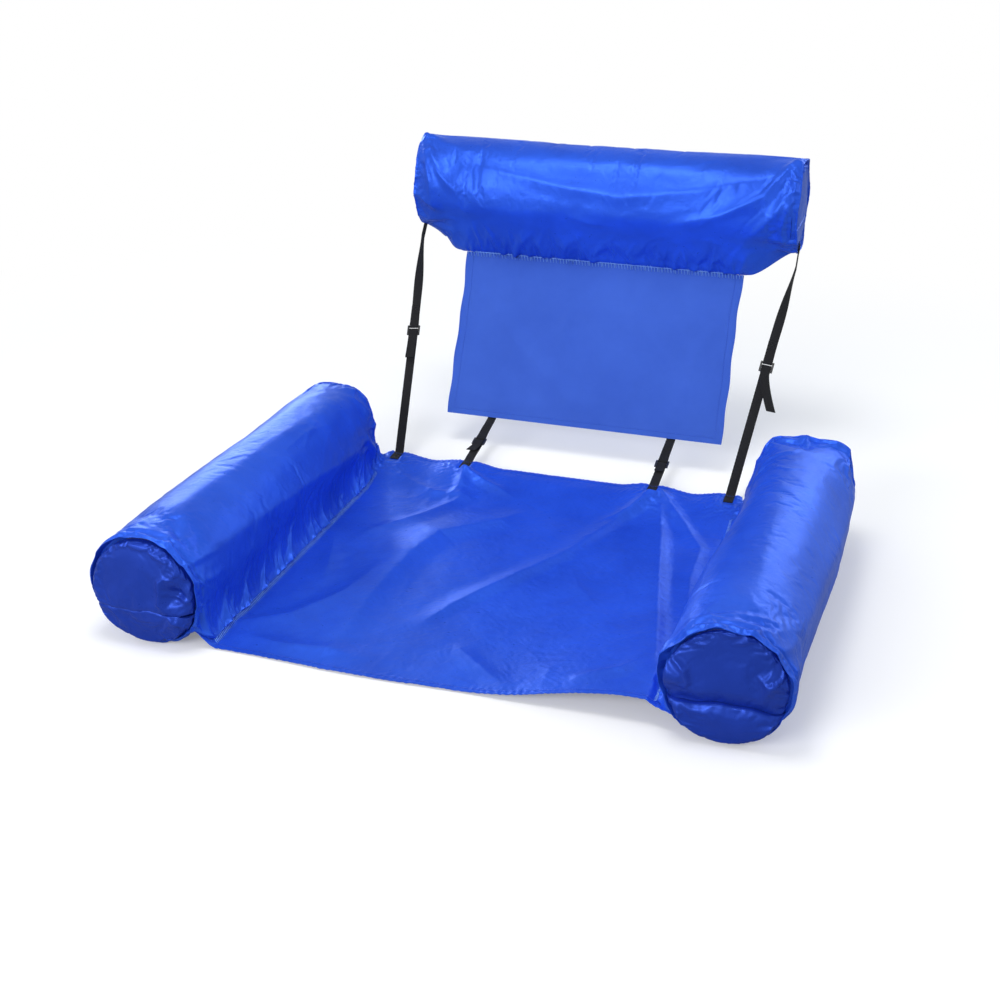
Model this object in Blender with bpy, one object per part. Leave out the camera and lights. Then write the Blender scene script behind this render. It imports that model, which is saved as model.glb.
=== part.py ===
"""Inflatable water hammock: a seat sheet slung between two air-filled arm bolsters,
with a back panel and a headrest bolster held up behind it by four webbing straps.

Metres, +Z up. The origin is on the ground, midway between the arms and midway along them.
The sitter faces -Y, so the arms' openings face -Y and the back stands at +Y.
"""
from math import acos, asin, atan2, cos, hypot, pi, radians, sin

import bmesh
import bpy
from mathutils import Vector

# Cloth
CLOTH = 0.0012                # wall of a sleeve, cap or flap, with its hems
SEAT_CLOTH = 0.0016           # doubled seat sheet
PANEL_CLOTH = 0.0015          # doubled back panel
GAP = 0.0003                  # between sewn pieces that touch
TAPE = 0.0015                 # hook or loop tape
TAPE_WIDTH = 0.015

# Arm bolsters
OVERALL_WIDTH = 1.200
ARM_RADIUS = 0.104
ARM_LENGTH = 0.785
ARM_DRAW = 0.0045             # how far a sleeve's ends are drawn in
ARM_DOME = 0.020              # swell of the sewn rear end
FLAP_DOME = 0.016
ARM_CREASE_SHARE = 0.33       # of the opening's height, where the flap folds
SEAM_DROP_SHARE = 0.7071      # of the radius, the seat seam's drop below the axis

# Ends of the bolsters
MOUTH_RECESS = 0.006          # the flap lies this far inside the sleeve's hem
MOUTH_GAP = 0.005             # crescent between flap and hem
LIP_WIDTH = 0.022             # facing turned in behind the flap
SEGMENT_DOME = 0.006
END_DISH = 0.002              # the headrest's sewn end lies this far in

# Seat sheet
SEAT_SETBACK = 0.010          # front hem behind the arms' mouths
SEAT_OVERRUN = 0.070          # rear hem behind the arms' rear ends
SEAT_RISE = 0.046             # width over which the sheet climbs to each arm's seam
CORNER_INSET = 0.030          # how much narrower each side is at the rear hem
HEM_LIFT = 0.028              # the straps lift the rear hem by this much
HEM_SAG = 0.009               # and it sags between them
LIFT_RUN = 0.165
SEAT_FOLD = 0.0035            # height of the long soft folds
EDGE_DROP = 0.0003

# Back panel, as its front face stands
PANEL_HALF = 0.317
PANEL_LENGTH = 0.369
PANEL_LEAN = radians(24.0)    # from the vertical
PANEL_BACK = 0.165            # bottom hem behind the seat's rear hem
PANEL_RISE = 0.040            # bottom hem above the strap hinge
PANEL_WAVE = 0.004
PANEL_HEM = 0.012
HEM_STEP = 0.0006

# Headrest bolster
HEAD_HALF = 0.4248
HEAD_RADIUS = 0.100
HEAD_BACK = 0.045             # axis behind the panel's top seam
HEAD_RISE = 0.145             # axis above the panel's top seam
HEAD_RIDGE = 0.006            # height of the taut crest over the round
HEAD_DRAW = 0.003
HEAD_TAPER = 0.100            # over which the seam's pull dies out at each end
HEAD_FLAP_DOME = 0.005

# Bladders, valves and plugs
BLADDER_SKIN = 0.0005
BLADDER_RECESS = 0.018        # valve face behind the lip
BLADDER_SHOULDER = 0.045      # length of each domed end
VALVE_FACE = 0.020            # flat round the valve
VALVE_BORE = 0.0045
VALVE_STEM = 0.0077
VALVE_FLANGE = 0.0130
VALVE_FLANGE_DEPTH = 0.0015
VALVE_INSIDE = 0.006
VALVE_OUTSIDE = 0.006
PLUG_FIT = 0.0002
PLUG_HEAD = 0.0090
PLUG_HEAD_DEPTH = 0.0028
PLUG_STEM = 0.010

# Webbing and buckles
WEB = 0.020
WEB_DEPTH = 0.0012
INNER_INSET = 0.111           # inner straps in from the panel's sides
OUTER_INSET = 0.025           # outer straps in from the seat's rear corners
ANCHOR = 0.036                # sewn length on the seat's rear hem
STRAP_START = 0.0007          # from the hinge line to the strap's first edge
BUCKLE_HALF = 0.0145
BUCKLE_DEPTH = 0.0030
BAR = 0.0032
BAR_PITCH = 0.010
SLOT_SIDE = 0.0006
WEB_PLAY = 0.0005             # between webbing and bar
LOOP_RISE = 0.0010
RETURN_GAP = 0.0004
BUCKLE_ROUND = 0.0005
SETTLE = 0.012                # length over which webbing swings out past a bar
RETURN = 0.050                # sewn return above the buckle
OUTER_BUCKLE_SHARE = 0.52
INNER_BUCKLE_SHARE = 0.45
TAB = 0.024                   # sewn on the headrest's end
TAB_STRAIGHT = 0.034          # stays flat to the end before it twists
OUTER_TOP_BACK = 0.350        # foot of the tab behind the hinge line
OUTER_TOP_RISE = 0.426
PANEL_TAB = 0.030
HEM_CLEAR = 0.0022
TAIL_SWING = 0.10             # a tail's outward lean, as a slope
TAILS = {"left_outer": 0.055, "left_inner": 0.030, "right_inner": 0.018, "right_outer": 0.085}

# Counts
FACETS = 32
BLADDER_FACETS = 24
VALVE_FACETS = 16
CAP_RINGS = 5
SHOULDER_RINGS = 4
FLAP_ROWS = 8
FLAP_COLUMNS = 12
SEGMENT_ROWS = 5
SEGMENT_COLUMNS = 10
TAPE_STEPS = 14
LOOP_STEPS = 6
TWIST_STEPS = 9
ARM_GATHERS = 6               # round an arm's end
ARM_SWELLS = 3                # round its middle
HEAD_FOLDS = 5
REAR_PLEATS = 8

# Where a bolster's rings lie, as shares of its length. The last ring carries the lip.
ARM_RING_SHARES = (0, 0.02, 0.05, 0.10, 0.18, 0.30, 0.44, 0.58, 0.72, 0.83, 0.91, 0.965)
HEAD_RING_SHARES = (0, 0.03, 0.08, 0.14, 0.22, 0.32, 0.44, 0.56, 0.68, 0.78, 0.86, 0.92, 0.96)

# How far the bolsters' gathers and folds run, as shares of the length
ARM_DRAWN_SHARE = 0.14
GATHER_SHARE = 0.05
SWELL_SHARE = 0.2
HEAD_DRAWN_SHARE = 0.08
CREST_SHARE = 0.04
HEAD_FOLD_SHARE = 0.07

# Where the seat sheet is cut into columns and rows
MIDDLE_COLUMN_SHARES = (0.13, 0.26, 0.39)     # of the flat half width
EDGE_COLUMN_SHARES = (0.33, 0.67, 1)          # from the outer strap to the edge
ROW_SHARES = (0, 0.03, 0.09, 0.16, 0.23, 0.30, 0.37, 0.44, 0.51, 0.58, 0.65, 0.72, 0.78)
REAR_ROW_SHARES = (0.28, 0.52, 0.76)          # from there to the strap anchors

# Where the back panel is: half its columns, of its half width, and its rows above the hem
PANEL_COLUMN_SHARES = (-1, -0.985, -0.962, -0.8, -0.62, -0.42, -0.2, 0)
PANEL_ROW_SHARES = (0.2, 0.36, 0.52, 0.68, 0.84, 1)
SIDE_HEM_SHARE = 0.97
TAIL_SHARES = (0.3, 0.6, 1)   # of a strap's free tail

# Worked out from the sizes above
ARM_X = OVERALL_WIDTH / 2 - ARM_RADIUS
FLAT_CUT = 0.0005             # a sleeve is cut flat this deep where it lies on the ground
ARM_Z = ARM_RADIUS - FLAT_CUT
MOUTH_Y = -ARM_LENGTH / 2
SEAM_ANGLE = -asin(SEAM_DROP_SHARE)
SEAM_X = ARM_X - ARM_RADIUS * cos(SEAM_ANGLE)
SEAM_Z = ARM_Z - ARM_RADIUS * SEAM_DROP_SHARE
SEAT_FRONT = MOUTH_Y + SEAT_SETBACK
SEAT_REAR = -MOUTH_Y + SEAT_OVERRUN
SEAT_DEPTH = SEAT_REAR - SEAT_FRONT
SEAT_EDGE = SEAM_X - GAP
SEAT_FLAT_HALF = SEAT_EDGE - SEAT_RISE
SEAT_CORNER_HALF = SEAT_EDGE - CORNER_INSET
INNER_X = PANEL_HALF - INNER_INSET
OUTER_X = SEAT_CORNER_HALF - OUTER_INSET
HINGE = Vector((0, SEAT_REAR, HEM_LIFT + SEAT_CLOTH + GAP + WEB_DEPTH / 2))
PANEL_FOOT = HINGE + Vector((0, PANEL_BACK, PANEL_RISE))
PANEL_UP = Vector((0, sin(PANEL_LEAN), cos(PANEL_LEAN)))
PANEL_FRONT = Vector((0, -cos(PANEL_LEAN), sin(PANEL_LEAN)))
SEAM_TOP = PANEL_FOOT + PANEL_UP * (PANEL_LENGTH + GAP)
HEAD_AXIS = SEAM_TOP + Vector((0, HEAD_BACK, HEAD_RISE))
HEAD_SEAM_REACH = hypot(HEAD_BACK, HEAD_RISE) - GAP
HEAD_SEAM_ANGLE = atan2(-HEAD_RISE, -HEAD_BACK)
STRAP_OFFSET = BUCKLE_DEPTH / 2 + WEB_PLAY + WEB_DEPTH / 2
FACET_SHARE = cos(pi / (FACETS - 2))
ARM_MOUTH = (ARM_RADIUS - ARM_DRAW - CLOTH) * FACET_SHARE      # largest round inside an end
HEAD_MOUTH = (HEAD_RADIUS - HEAD_DRAW - CLOTH) * FACET_SHARE
LIP_DEPTH = MOUTH_RECESS + TAPE * 2 + GAP * 3
BLADDER_DEPTH = LIP_DEPTH + CLOTH + BLADDER_RECESS             # of the valve's face
SIDES = {"left": -1, "right": 1}


def clear_scene():
    for item in list(bpy.data.objects):
        bpy.data.objects.remove(item)


def material(name, colour, roughness, metallic=0.0):
    made = bpy.data.materials.new(name)
    made.use_nodes = True
    shader = made.node_tree.nodes["Principled BSDF"]
    shader.inputs["Base Color"].default_value = (*colour, 1)
    shader.inputs["Roughness"].default_value = roughness
    shader.inputs["Metallic"].default_value = metallic
    return made


def pivot(name, place, carrier=None):
    """An empty on a joint's axis. What moves with the joint is parented to it."""
    made = bpy.data.objects.new(name, None)
    bpy.context.scene.collection.objects.link(made)
    made.location = Vector(place)
    if carrier:
        made.parent = carrier
        made.location -= carrier.matrix_world.translation
    bpy.context.view_layer.update()
    return made


def add_object(name, mesh, finish, carrier):
    """Turns a bmesh in world coordinates into an object that hangs on its carrier."""
    bmesh.ops.recalc_face_normals(mesh, faces=mesh.faces)
    bmesh.ops.translate(mesh, verts=mesh.verts, vec=-carrier.matrix_world.translation)
    data = bpy.data.meshes.new(name)
    mesh.to_mesh(data)
    mesh.free()
    data.shade_smooth()
    data.set_sharp_from_angle(angle=radians(40))
    data.materials.append(finish)
    made = bpy.data.objects.new(name, data)
    bpy.context.scene.collection.objects.link(made)
    made.parent = carrier
    return made


def smooth(share):
    share = min(max(share, 0), 1)
    return share * share * (3 - 2 * share)


def bump(share, centre, spread):
    """1 at the centre, falling smoothly to 0 at a distance of spread."""
    return smooth(1 - abs(share - centre) / spread)


def loft(rings, joined=False, flat=False):
    """A closed skin over rings of points. Each ring has the same count, or is one pole point.
    Joined rings meet head to tail, as round a tube's wall; otherwise the ends are closed.
    The two faces of a flat strap are split along the same diagonals, so that they twist alike."""
    mesh = bmesh.new()
    rows = [[mesh.verts.new(point) for point in ring] for ring in rings]
    pairs = list(zip(rows, rows[1:]))
    if joined:
        pairs.append((rows[-1], rows[0]))
    for low, high in pairs:
        count = max(len(low), len(high))
        for i in range(count):
            j = (i + 1) % count
            if len(low) == 1:
                mesh.faces.new((low[0], high[i], high[j]))
            elif len(high) == 1:
                mesh.faces.new((low[i], high[0], low[j]))
            elif flat and i >= count // 2:
                mesh.faces.new((low[i], high[i], low[j]))
                mesh.faces.new((high[i], high[j], low[j]))
            else:
                mesh.faces.new((low[i], high[i], high[j]))
                mesh.faces.new((low[i], high[j], low[j]))
    if not joined:
        for row in (rows[0], rows[-1]):
            if len(row) > 1:
                mesh.faces.new(row)
    return mesh


def slab(top, bottom):
    """A closed sheet between two grids of points with the same rows and columns."""
    mesh = bmesh.new()
    faces = []
    for grid in (top, bottom):
        rows = [[mesh.verts.new(point) for point in row] for row in grid]
        for low, high in zip(rows, rows[1:]):
            for i in range(len(low) - 1):
                mesh.faces.new((low[i], low[i + 1], high[i + 1]))
                mesh.faces.new((low[i], high[i + 1], high[i]))
        faces.append(rows)
    for a, b in zip(rim(faces[0]), rim(faces[1])):
        mesh.faces.new((a[0], a[1], b[1]))
        mesh.faces.new((a[0], b[1], b[0]))
    bmesh.ops.remove_doubles(mesh, verts=mesh.verts, dist=GAP / 1000)
    bmesh.ops.dissolve_degenerate(mesh, edges=mesh.edges, dist=GAP / 1000)
    return mesh


def rim(rows):
    """The edges round a grid, in order."""
    loop = rows[0] + [row[-1] for row in rows[1:]]
    loop += rows[-1][-2::-1] + [row[0] for row in rows[-2:0:-1]]
    return list(zip(loop, loop[1:] + loop[:1]))


class End:
    """One end of a bolster: its middle, and its directions sideways, up and outwards."""

    def __init__(self, middle, side, up, out):
        self.middle = Vector(middle)
        self.side = Vector(side)
        self.up = Vector(up)
        self.out = Vector(out)

    def at(self, side, up, out):
        return self.middle + self.side * side + self.up * up + self.out * out

    def ring(self, radius, out, count=FACETS, start=0.0):
        angles = [start + 2 * pi * k / count for k in range(count)]
        return [self.at(radius * cos(a), radius * sin(a), out) for a in angles]


def revolved(end, profile, count):
    """Turns (radius, outward) points about the end's axis; a radius of 0 is a pole."""
    rings = [end.ring(r, out, count) if r else [end.at(0, 0, out)] for r, out in profile]
    return loft(rings, joined=all(r for r, out in profile))


def web_section(point, across, normal):
    wide = across * (WEB / 2)
    deep = normal * (WEB_DEPTH / 2)
    return [point - wide - deep, point + wide - deep, point + wide + deep, point - wide + deep]


def webbing(stations):
    """Flat webbing through stations of (point, direction across)."""
    rings = []
    for k, (point, across) in enumerate(stations):
        before = stations[max(k - 1, 0)][0]
        after = stations[min(k + 1, len(stations) - 1)][0]
        normal = (after - before).cross(across).normalized()
        rings.append(web_section(point, across, normal))
    return loft(rings, flat=True)


# Bolster sleeves

def angle_between(angle, other):
    return abs((angle - other + pi) % (2 * pi) - pi)


def arm_gather(angle, share):
    """Swell of an arm's sleeve over its drawn-in round, from 0 at the ends to 1."""
    free = smooth((angle_between(angle, SEAM_ANGLE) - radians(12)) / radians(40))
    end = min(share, 1 - share)
    drawn = 1 - smooth(end / ARM_DRAWN_SHARE)
    wave = 0.5 + 0.5 * cos(ARM_GATHERS * angle + 14 * share)
    pucker = bump(end, GATHER_SHARE, GATHER_SHARE) * wave
    swell = 0.5 + 0.5 * cos(ARM_SWELLS * angle + 11 * share)
    soft = 0.24 * swell * smooth(end / SWELL_SHARE)
    return 1 - free * min(1, max(drawn * (1 - 0.8 * pucker), soft))


def arm_radius(angle, share):
    return ARM_RADIUS - ARM_DRAW * (1 - arm_gather(angle, share))


def arm_angles():
    """Angles round an arm, the first of them at the seat's seam."""
    return [SEAM_ANGLE + 2 * pi * k / FACETS for k in range(FACETS)]


def with_lip(ring, lip_ring, stations, length):
    """Rings round a sleeve's wall: outside, over the mouth's hem, the facing, then inside."""
    inside = [s for s in stations if s * length < length - LIP_DEPTH - 3 * CLOTH]
    rings = [ring(s, 0) for s in stations] + [ring(1, 0), ring(1, CLOTH)]
    rings.append(ring(1 - LIP_DEPTH / length, CLOTH))
    rings += [lip_ring(LIP_DEPTH), lip_ring(LIP_DEPTH + CLOTH)]
    rings.append(ring(1 - (LIP_DEPTH + CLOTH) / length, CLOTH))
    rings += [ring(s, CLOTH) for s in reversed(inside)]
    return loft(rings, joined=True)


def arm_sleeve(name, end, finish, carrier):
    def ring(share, wall):
        points = []
        for angle in arm_angles():
            radius = arm_radius(angle, share) - wall
            point = end.at(radius * cos(angle), radius * sin(angle), (share - 1) * ARM_LENGTH)
            point.z = max(point.z, 0)
            points.append(point)
        return points

    def lip_ring(depth):
        return end.ring(ARM_MOUTH - LIP_WIDTH, -depth, FACETS, SEAM_ANGLE)

    mesh = with_lip(ring, lip_ring, ARM_RING_SHARES, ARM_LENGTH)
    add_object(name, mesh, finish, carrier)


def head_angles():
    """Angles round the headrest, with a point on the panel seam and one on the crest."""
    first = FACETS // 2 + 1
    up = HEAD_SEAM_ANGLE + 2 * pi
    crest = pi / 2
    sweep = crest + 2 * pi - up
    back = [up + sweep * k / first for k in range(first)]
    rest = FACETS - first
    return back + [crest + (up - crest) * k / rest for k in range(rest)]


def drawn_to(reach, radius, off):
    """Radius of a round whose skin is pulled out straight to a point at the given reach."""
    spread = acos(min(radius / reach, 1))
    return radius / cos(max(0, spread - off))


def head_radius(angle, share):
    end = min(share, 1 - share)
    x = abs(share - 0.5) * 2 * HEAD_HALF
    pull = smooth((HEAD_HALF - x) / HEAD_TAPER)
    radius = HEAD_RADIUS - HEAD_DRAW * (1 - smooth(end / HEAD_DRAWN_SHARE))
    seam_off = angle_between(angle, HEAD_SEAM_ANGLE)
    crest_off = angle_between(angle, pi / 2)
    seam = drawn_to(radius + (HEAD_SEAM_REACH - radius) * pull, radius, seam_off)
    crest = drawn_to(radius + HEAD_RIDGE * smooth(end / CREST_SHARE), radius, crest_off)
    away = smooth((seam_off - radians(30)) / radians(30)) * smooth(crest_off / radians(30))
    wave = 0.5 + 0.5 * cos(HEAD_FOLDS * angle + 9 * share)
    fold = wave * away * bump(end, HEAD_FOLD_SHARE, HEAD_FOLD_SHARE)
    return max(seam, crest) + HEAD_DRAW * 0.8 * fold


def headrest_sleeve(end, finish, carrier):
    angles = head_angles()

    def ring(share, wall):
        points = []
        for angle in angles:
            radius = head_radius(angle, share) - wall
            points.append(end.at(radius * cos(angle), radius * sin(angle), (share - 1) * 2 * HEAD_HALF))
        return points

    def lip_ring(depth):
        radius = HEAD_MOUTH - LIP_WIDTH
        return [end.at(radius * cos(a), radius * sin(a), -depth) for a in angles]

    mesh = with_lip(ring, lip_ring, HEAD_RING_SHARES, 2 * HEAD_HALF)
    add_object("headrest_sleeve", mesh, finish, carrier)


# Sewn ends, flaps and their tapes

def sewn_cap(name, end, radius, dome, pleats, finish, carrier):
    """A round of cloth sewn into a sleeve's end, swelling outwards by its dome."""
    def ring(share, wall):
        points = []
        for k in range(FACETS):
            angle = 2 * pi * k / FACETS
            fold = 1 + pleats * cos(REAR_PLEATS * angle) * share * (1 - share)
            out = dome * (1 - share ** 2) ** 0.7 * fold - wall
            points.append(end.at(radius * share * cos(angle), radius * share * sin(angle), out))
        return points

    shares = [sin(pi / 2 * k / CAP_RINGS) for k in range(1, CAP_RINGS + 1)]
    rings = [[end.at(0, 0, dome)]] + [ring(s, 0) for s in shares]
    rings += [ring(s, CLOTH) for s in reversed(shares)] + [[end.at(0, 0, dome - CLOTH)]]
    add_object(name, loft(rings), finish, carrier)


def disc_piece(end, radius, low_angle, high_angle, swell, grid):
    """Part of a disc between two levels, given by the angles at which its rim starts and
    stops. Its front swells by swell(side, up)."""
    rows, columns = grid
    front, back = [], []
    for j in range(rows + 1):
        angle = low_angle + (high_angle - low_angle) * j / rows
        front.append([])
        back.append([])
        for i in range(columns + 1):
            side = radius * cos(angle) * sin(pi / 2 * (2 * i / columns - 1))
            up = radius * sin(angle)
            out = swell(side, up)
            front[-1].append(end.at(side, up, out + CLOTH))
            back[-1].append(end.at(side, up, out))
    return slab(front, back)


def flap_swell(radius, crease, dome):
    """Swell inside the tape's border, dying out at the crease."""
    flat = radius - TAPE_WIDTH - GAP

    def swell(side, up):
        middle = max(0, 1 - (hypot(side, up) / flat) ** 2) ** 0.6
        height = (radius - up) / (radius - crease)
        return dome * middle * (1 - height ** 4)

    return swell


def segment_swell(radius, crease, dome):
    def swell(side, up):
        middle = max(0, 1 - (hypot(side, up) / radius) ** 2)
        height = (up + radius) / (crease + radius)
        return dome * middle * (1 - height ** 4) * 2

    return swell


def tape_arc(name, end, outer, out, crease, finish, carrier):
    """A strip of hook or loop tape round the opening, above the crease."""
    start = asin(crease / (outer - TAPE_WIDTH)) + radians(8)
    sweep = pi - 2 * start
    angles = [start + sweep * k / TAPE_STEPS for k in range(TAPE_STEPS + 1)]
    front, back = [], []
    for radius in (outer - TAPE_WIDTH, outer):
        front.append([end.at(radius * cos(a), radius * sin(a), out + TAPE) for a in angles])
        back.append([end.at(radius * cos(a), radius * sin(a), out) for a in angles])
    add_object(name, slab(front, back), finish, carrier)


def opening(prefix, lower, end, mouth, domes, finishes, carrier, flap_pivot):
    """The closable end: the sewn lower piece, the flap, and the tapes that hold it shut."""
    crease = crease_height(mouth)
    flap_radius = mouth - MOUTH_GAP
    lower_radius = mouth - GAP
    half_gap = GAP * 0.75
    crease_angle = asin((crease - half_gap) / lower_radius)
    segment = segment_swell(lower_radius, crease, domes[1])
    inner = End(end.at(0, 0, -MOUTH_RECESS), end.side, end.up, end.out)
    grid = (SEGMENT_ROWS, SEGMENT_COLUMNS)
    mesh = disc_piece(inner, lower_radius, -pi / 2, crease_angle, segment, grid)
    add_object(lower, mesh, finishes["cloth"], carrier)
    flap_angle = asin((crease + half_gap) / flap_radius)
    swell = flap_swell(flap_radius, crease, domes[0])
    mesh = disc_piece(inner, flap_radius, flap_angle, pi / 2, swell, (FLAP_ROWS, FLAP_COLUMNS))
    add_object(prefix + "_flap", mesh, finishes["cloth"], flap_pivot)
    hook_out = -GAP - TAPE
    loop_out = hook_out - GAP - TAPE
    outer = flap_radius - GAP
    tape_arc(prefix + "_hook_strip", inner, outer, hook_out, crease, finishes["hook"], flap_pivot)
    tape_arc(prefix + "_loop_strip", inner, outer, loop_out, crease, finishes["loop"], carrier)


def crease_height(mouth):
    """Level of the flap's crease, from the middle of the opening."""
    return mouth * (2 * ARM_CREASE_SHARE - 1)


def flap_axis(end, mouth):
    return end.at(0, crease_height(mouth), CLOTH - MOUTH_RECESS)


# What the bolsters hold

def narrowest(angles, stations, radius_at, share):
    """Least radius of a sleeve's skin at a share of its length, on or between its rings."""
    low = max(s for s in stations if s <= share)
    high = min(s for s in stations if s >= share)
    part = (share - low) / (high - low) if high > low else 0
    return min(radius_at(a, low) * (1 - part) + radius_at(a, high) * part for a in angles)


def clear_radius(angles, stations, radius_at, length, rear):
    """Largest bladder that a sleeve leaves room for between the bladder's domed ends."""
    first = (length + rear + BLADDER_SHOULDER) / length
    last = (length - BLADDER_DEPTH - BLADDER_SHOULDER) / length
    near = [first] + [s for s in stations if first < s < last] + [last]
    inside = min(narrowest(angles, stations, radius_at, s) for s in near) - CLOTH
    return inside * FACET_SHARE - GAP


def bladder_profile(radius, face, rear):
    """(radius, outward) points of one skin, from the valve's face to the rear pole."""
    front, back = [], []
    for k in range(SHOULDER_RINGS):
        turn = pi / 2 * k / SHOULDER_RINGS
        shrink = VALVE_FACE + (radius - VALVE_FACE) * sin(turn)
        front.append((shrink, face - BLADDER_SHOULDER * (1 - cos(turn))))
        back.append((radius * cos(turn), rear + BLADDER_SHOULDER * (1 - sin(turn))))
    return front + [(radius, face - BLADDER_SHOULDER)] + back


def bladder(prefix, end, radius, rear, finishes, carrier, plug_pivot):
    """An air bladder of thin welded sheet, with a push-in valve and its plug."""
    face = -BLADDER_DEPTH
    bore = (VALVE_STEM + GAP) / cos(pi / BLADDER_FACETS)
    outside = bladder_profile(radius, face, rear)
    inside = bladder_profile(radius - BLADDER_SKIN, face - BLADDER_SKIN, rear + BLADDER_SKIN)
    profile = [(0, rear)] + outside[::-1] + [(bore, face), (bore, face - BLADDER_SKIN)]
    profile += inside + [(0, rear + BLADDER_SKIN)]
    mesh = revolved(end, profile, BLADDER_FACETS)
    add_object(prefix + "_bladder", mesh, finishes["bladder"], carrier)
    flange = face + GAP
    top = flange + VALVE_OUTSIDE
    neck = VALVE_STEM + GAP
    profile = [
        (VALVE_BORE, face - VALVE_INSIDE),
        (VALVE_STEM, face - VALVE_INSIDE),
        (VALVE_STEM, flange),
        (VALVE_FLANGE, flange),
        (VALVE_FLANGE, flange + VALVE_FLANGE_DEPTH),
        (neck, flange + VALVE_FLANGE_DEPTH),
        (neck, top),
        (VALVE_BORE, top),
    ]
    add_object(prefix + "_valve", revolved(end, profile, VALVE_FACETS), finishes["valve"], carrier)
    stem = VALVE_BORE * cos(pi / VALVE_FACETS) - PLUG_FIT
    head = top + GAP
    profile = [
        (0, head - PLUG_STEM),
        (stem, head - PLUG_STEM),
        (stem, head),
        (PLUG_HEAD, head),
        (PLUG_HEAD, head + PLUG_HEAD_DEPTH),
        (0, head + PLUG_HEAD_DEPTH),
    ]
    mesh = revolved(end, profile, VALVE_FACETS)
    add_object(prefix + "_valve_plug", mesh, finishes["plug"], plug_pivot)


# Seat sheet and back panel

def seat_edge(y):
    """Half width of the seat sheet at y: the arms' seams, drawn in behind them."""
    behind = smooth((y - ARM_LENGTH / 2) / (SEAT_REAR - ARM_LENGTH / 2))
    return SEAT_EDGE + (SEAT_CORNER_HALF - SEAT_EDGE) * behind


def seat_columns(y):
    """Distances from the middle at which the sheet is cut into columns, on one side."""
    half = WEB / 2 + GAP * 3
    columns = [SEAT_FLAT_HALF * s for s in MIDDLE_COLUMN_SHARES]
    columns += [INNER_X - half, INNER_X + half, (INNER_X + OUTER_X) / 2]
    columns += [OUTER_X - 2 * half, OUTER_X - half, OUTER_X + half]
    last = columns[-1]
    return columns + [last + (seat_edge(y) - last) * s for s in EDGE_COLUMN_SHARES]


def seat_lift(x, y):
    """Height of the sheet's underside over the ground."""
    side = smooth((abs(x) - SEAT_FLAT_HALF) / (SEAT_EDGE - SEAT_FLAT_HALF))
    held = 1 - smooth((y - ARM_LENGTH / 2) / (SEAT_REAR - ARM_LENGTH / 2))
    sewn = (SEAM_Z - SEAT_CLOTH - EDGE_DROP) * side * held
    clear = WEB / 2 + GAP * 4
    to_inner = max(0, abs(abs(x) - INNER_X) - clear)
    to_outer = max(0, abs(abs(x) - OUTER_X) - clear)
    slack = smooth(min(to_inner, to_outer) / (INNER_X / 3))
    hem = HEM_LIFT - HEM_SAG * slack
    rear = hem * smooth((y - SEAT_REAR + LIFT_RUN) / (LIFT_RUN - ANCHOR / 3))
    return max(sewn, rear)


def seat_fold(x, y):
    """Height of the sheet's soft folds: long ones aslant, and short ones off the straps."""
    across = x / SEAT_FLAT_HALF
    along = (y - SEAT_FRONT) / SEAT_DEPTH
    free = smooth((1 - abs(across)) / 0.15) * smooth(along / 0.08) * smooth((0.94 - along) / 0.06)
    slant = across * 1.3 + along * 1.9
    ridges = max(0, cos(slant * 5.2 + sin(along * 4) * 0.8)) ** 3
    cross = max(0, cos((across * 2.1 - along * 1.3) * 4.4 + 1.2)) ** 4
    return SEAT_FOLD * free * (0.75 * ridges + 0.45 * cross)


def seat_front(x):
    """The front hem's shallow waver."""
    return SEAT_FRONT + SEAT_FOLD * sin(5 * x / SEAT_FLAT_HALF)


def seat_rows():
    rows = [SEAT_FRONT + SEAT_DEPTH * s for s in ROW_SHARES]
    last = rows[-1]
    tabs = SEAT_REAR - ANCHOR
    rows += [last + (tabs - last) * s for s in REAR_ROW_SHARES]
    return rows + [tabs, SEAT_REAR - ANCHOR / 2, SEAT_REAR]


def seat_sheet(finish, carrier):
    top, bottom = [], []
    for y in seat_rows():
        columns = seat_columns(y)
        line = [-c for c in reversed(columns)] + [0] + columns
        front = 1 - smooth((y - SEAT_FRONT) / (SEAT_DEPTH * 0.09))
        places = [(x, y + (seat_front(x) - SEAT_FRONT) * front) for x in line]
        bottom.append([(x, at, seat_lift(x, y)) for x, at in places])
        top.append([(x, at, seat_lift(x, y) + SEAT_CLOTH + seat_fold(x, y)) for x, at in places])
    add_object("seat_sheet", slab(top, bottom), finish, carrier)


def anchor(name, x, finish, carrier):
    """Webbing sewn along the seat's top face up to the rear hem."""
    above = SEAT_CLOTH + GAP + WEB_DEPTH / 2
    rows = [y for y in seat_rows() if y > SEAT_REAR - ANCHOR * 1.01]
    rows[0] += GAP
    stations = [(Vector((x, y, seat_lift(x, y) + above)), Vector((1, 0, 0))) for y in rows]
    add_object(name, webbing(stations), finish, carrier)


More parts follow.
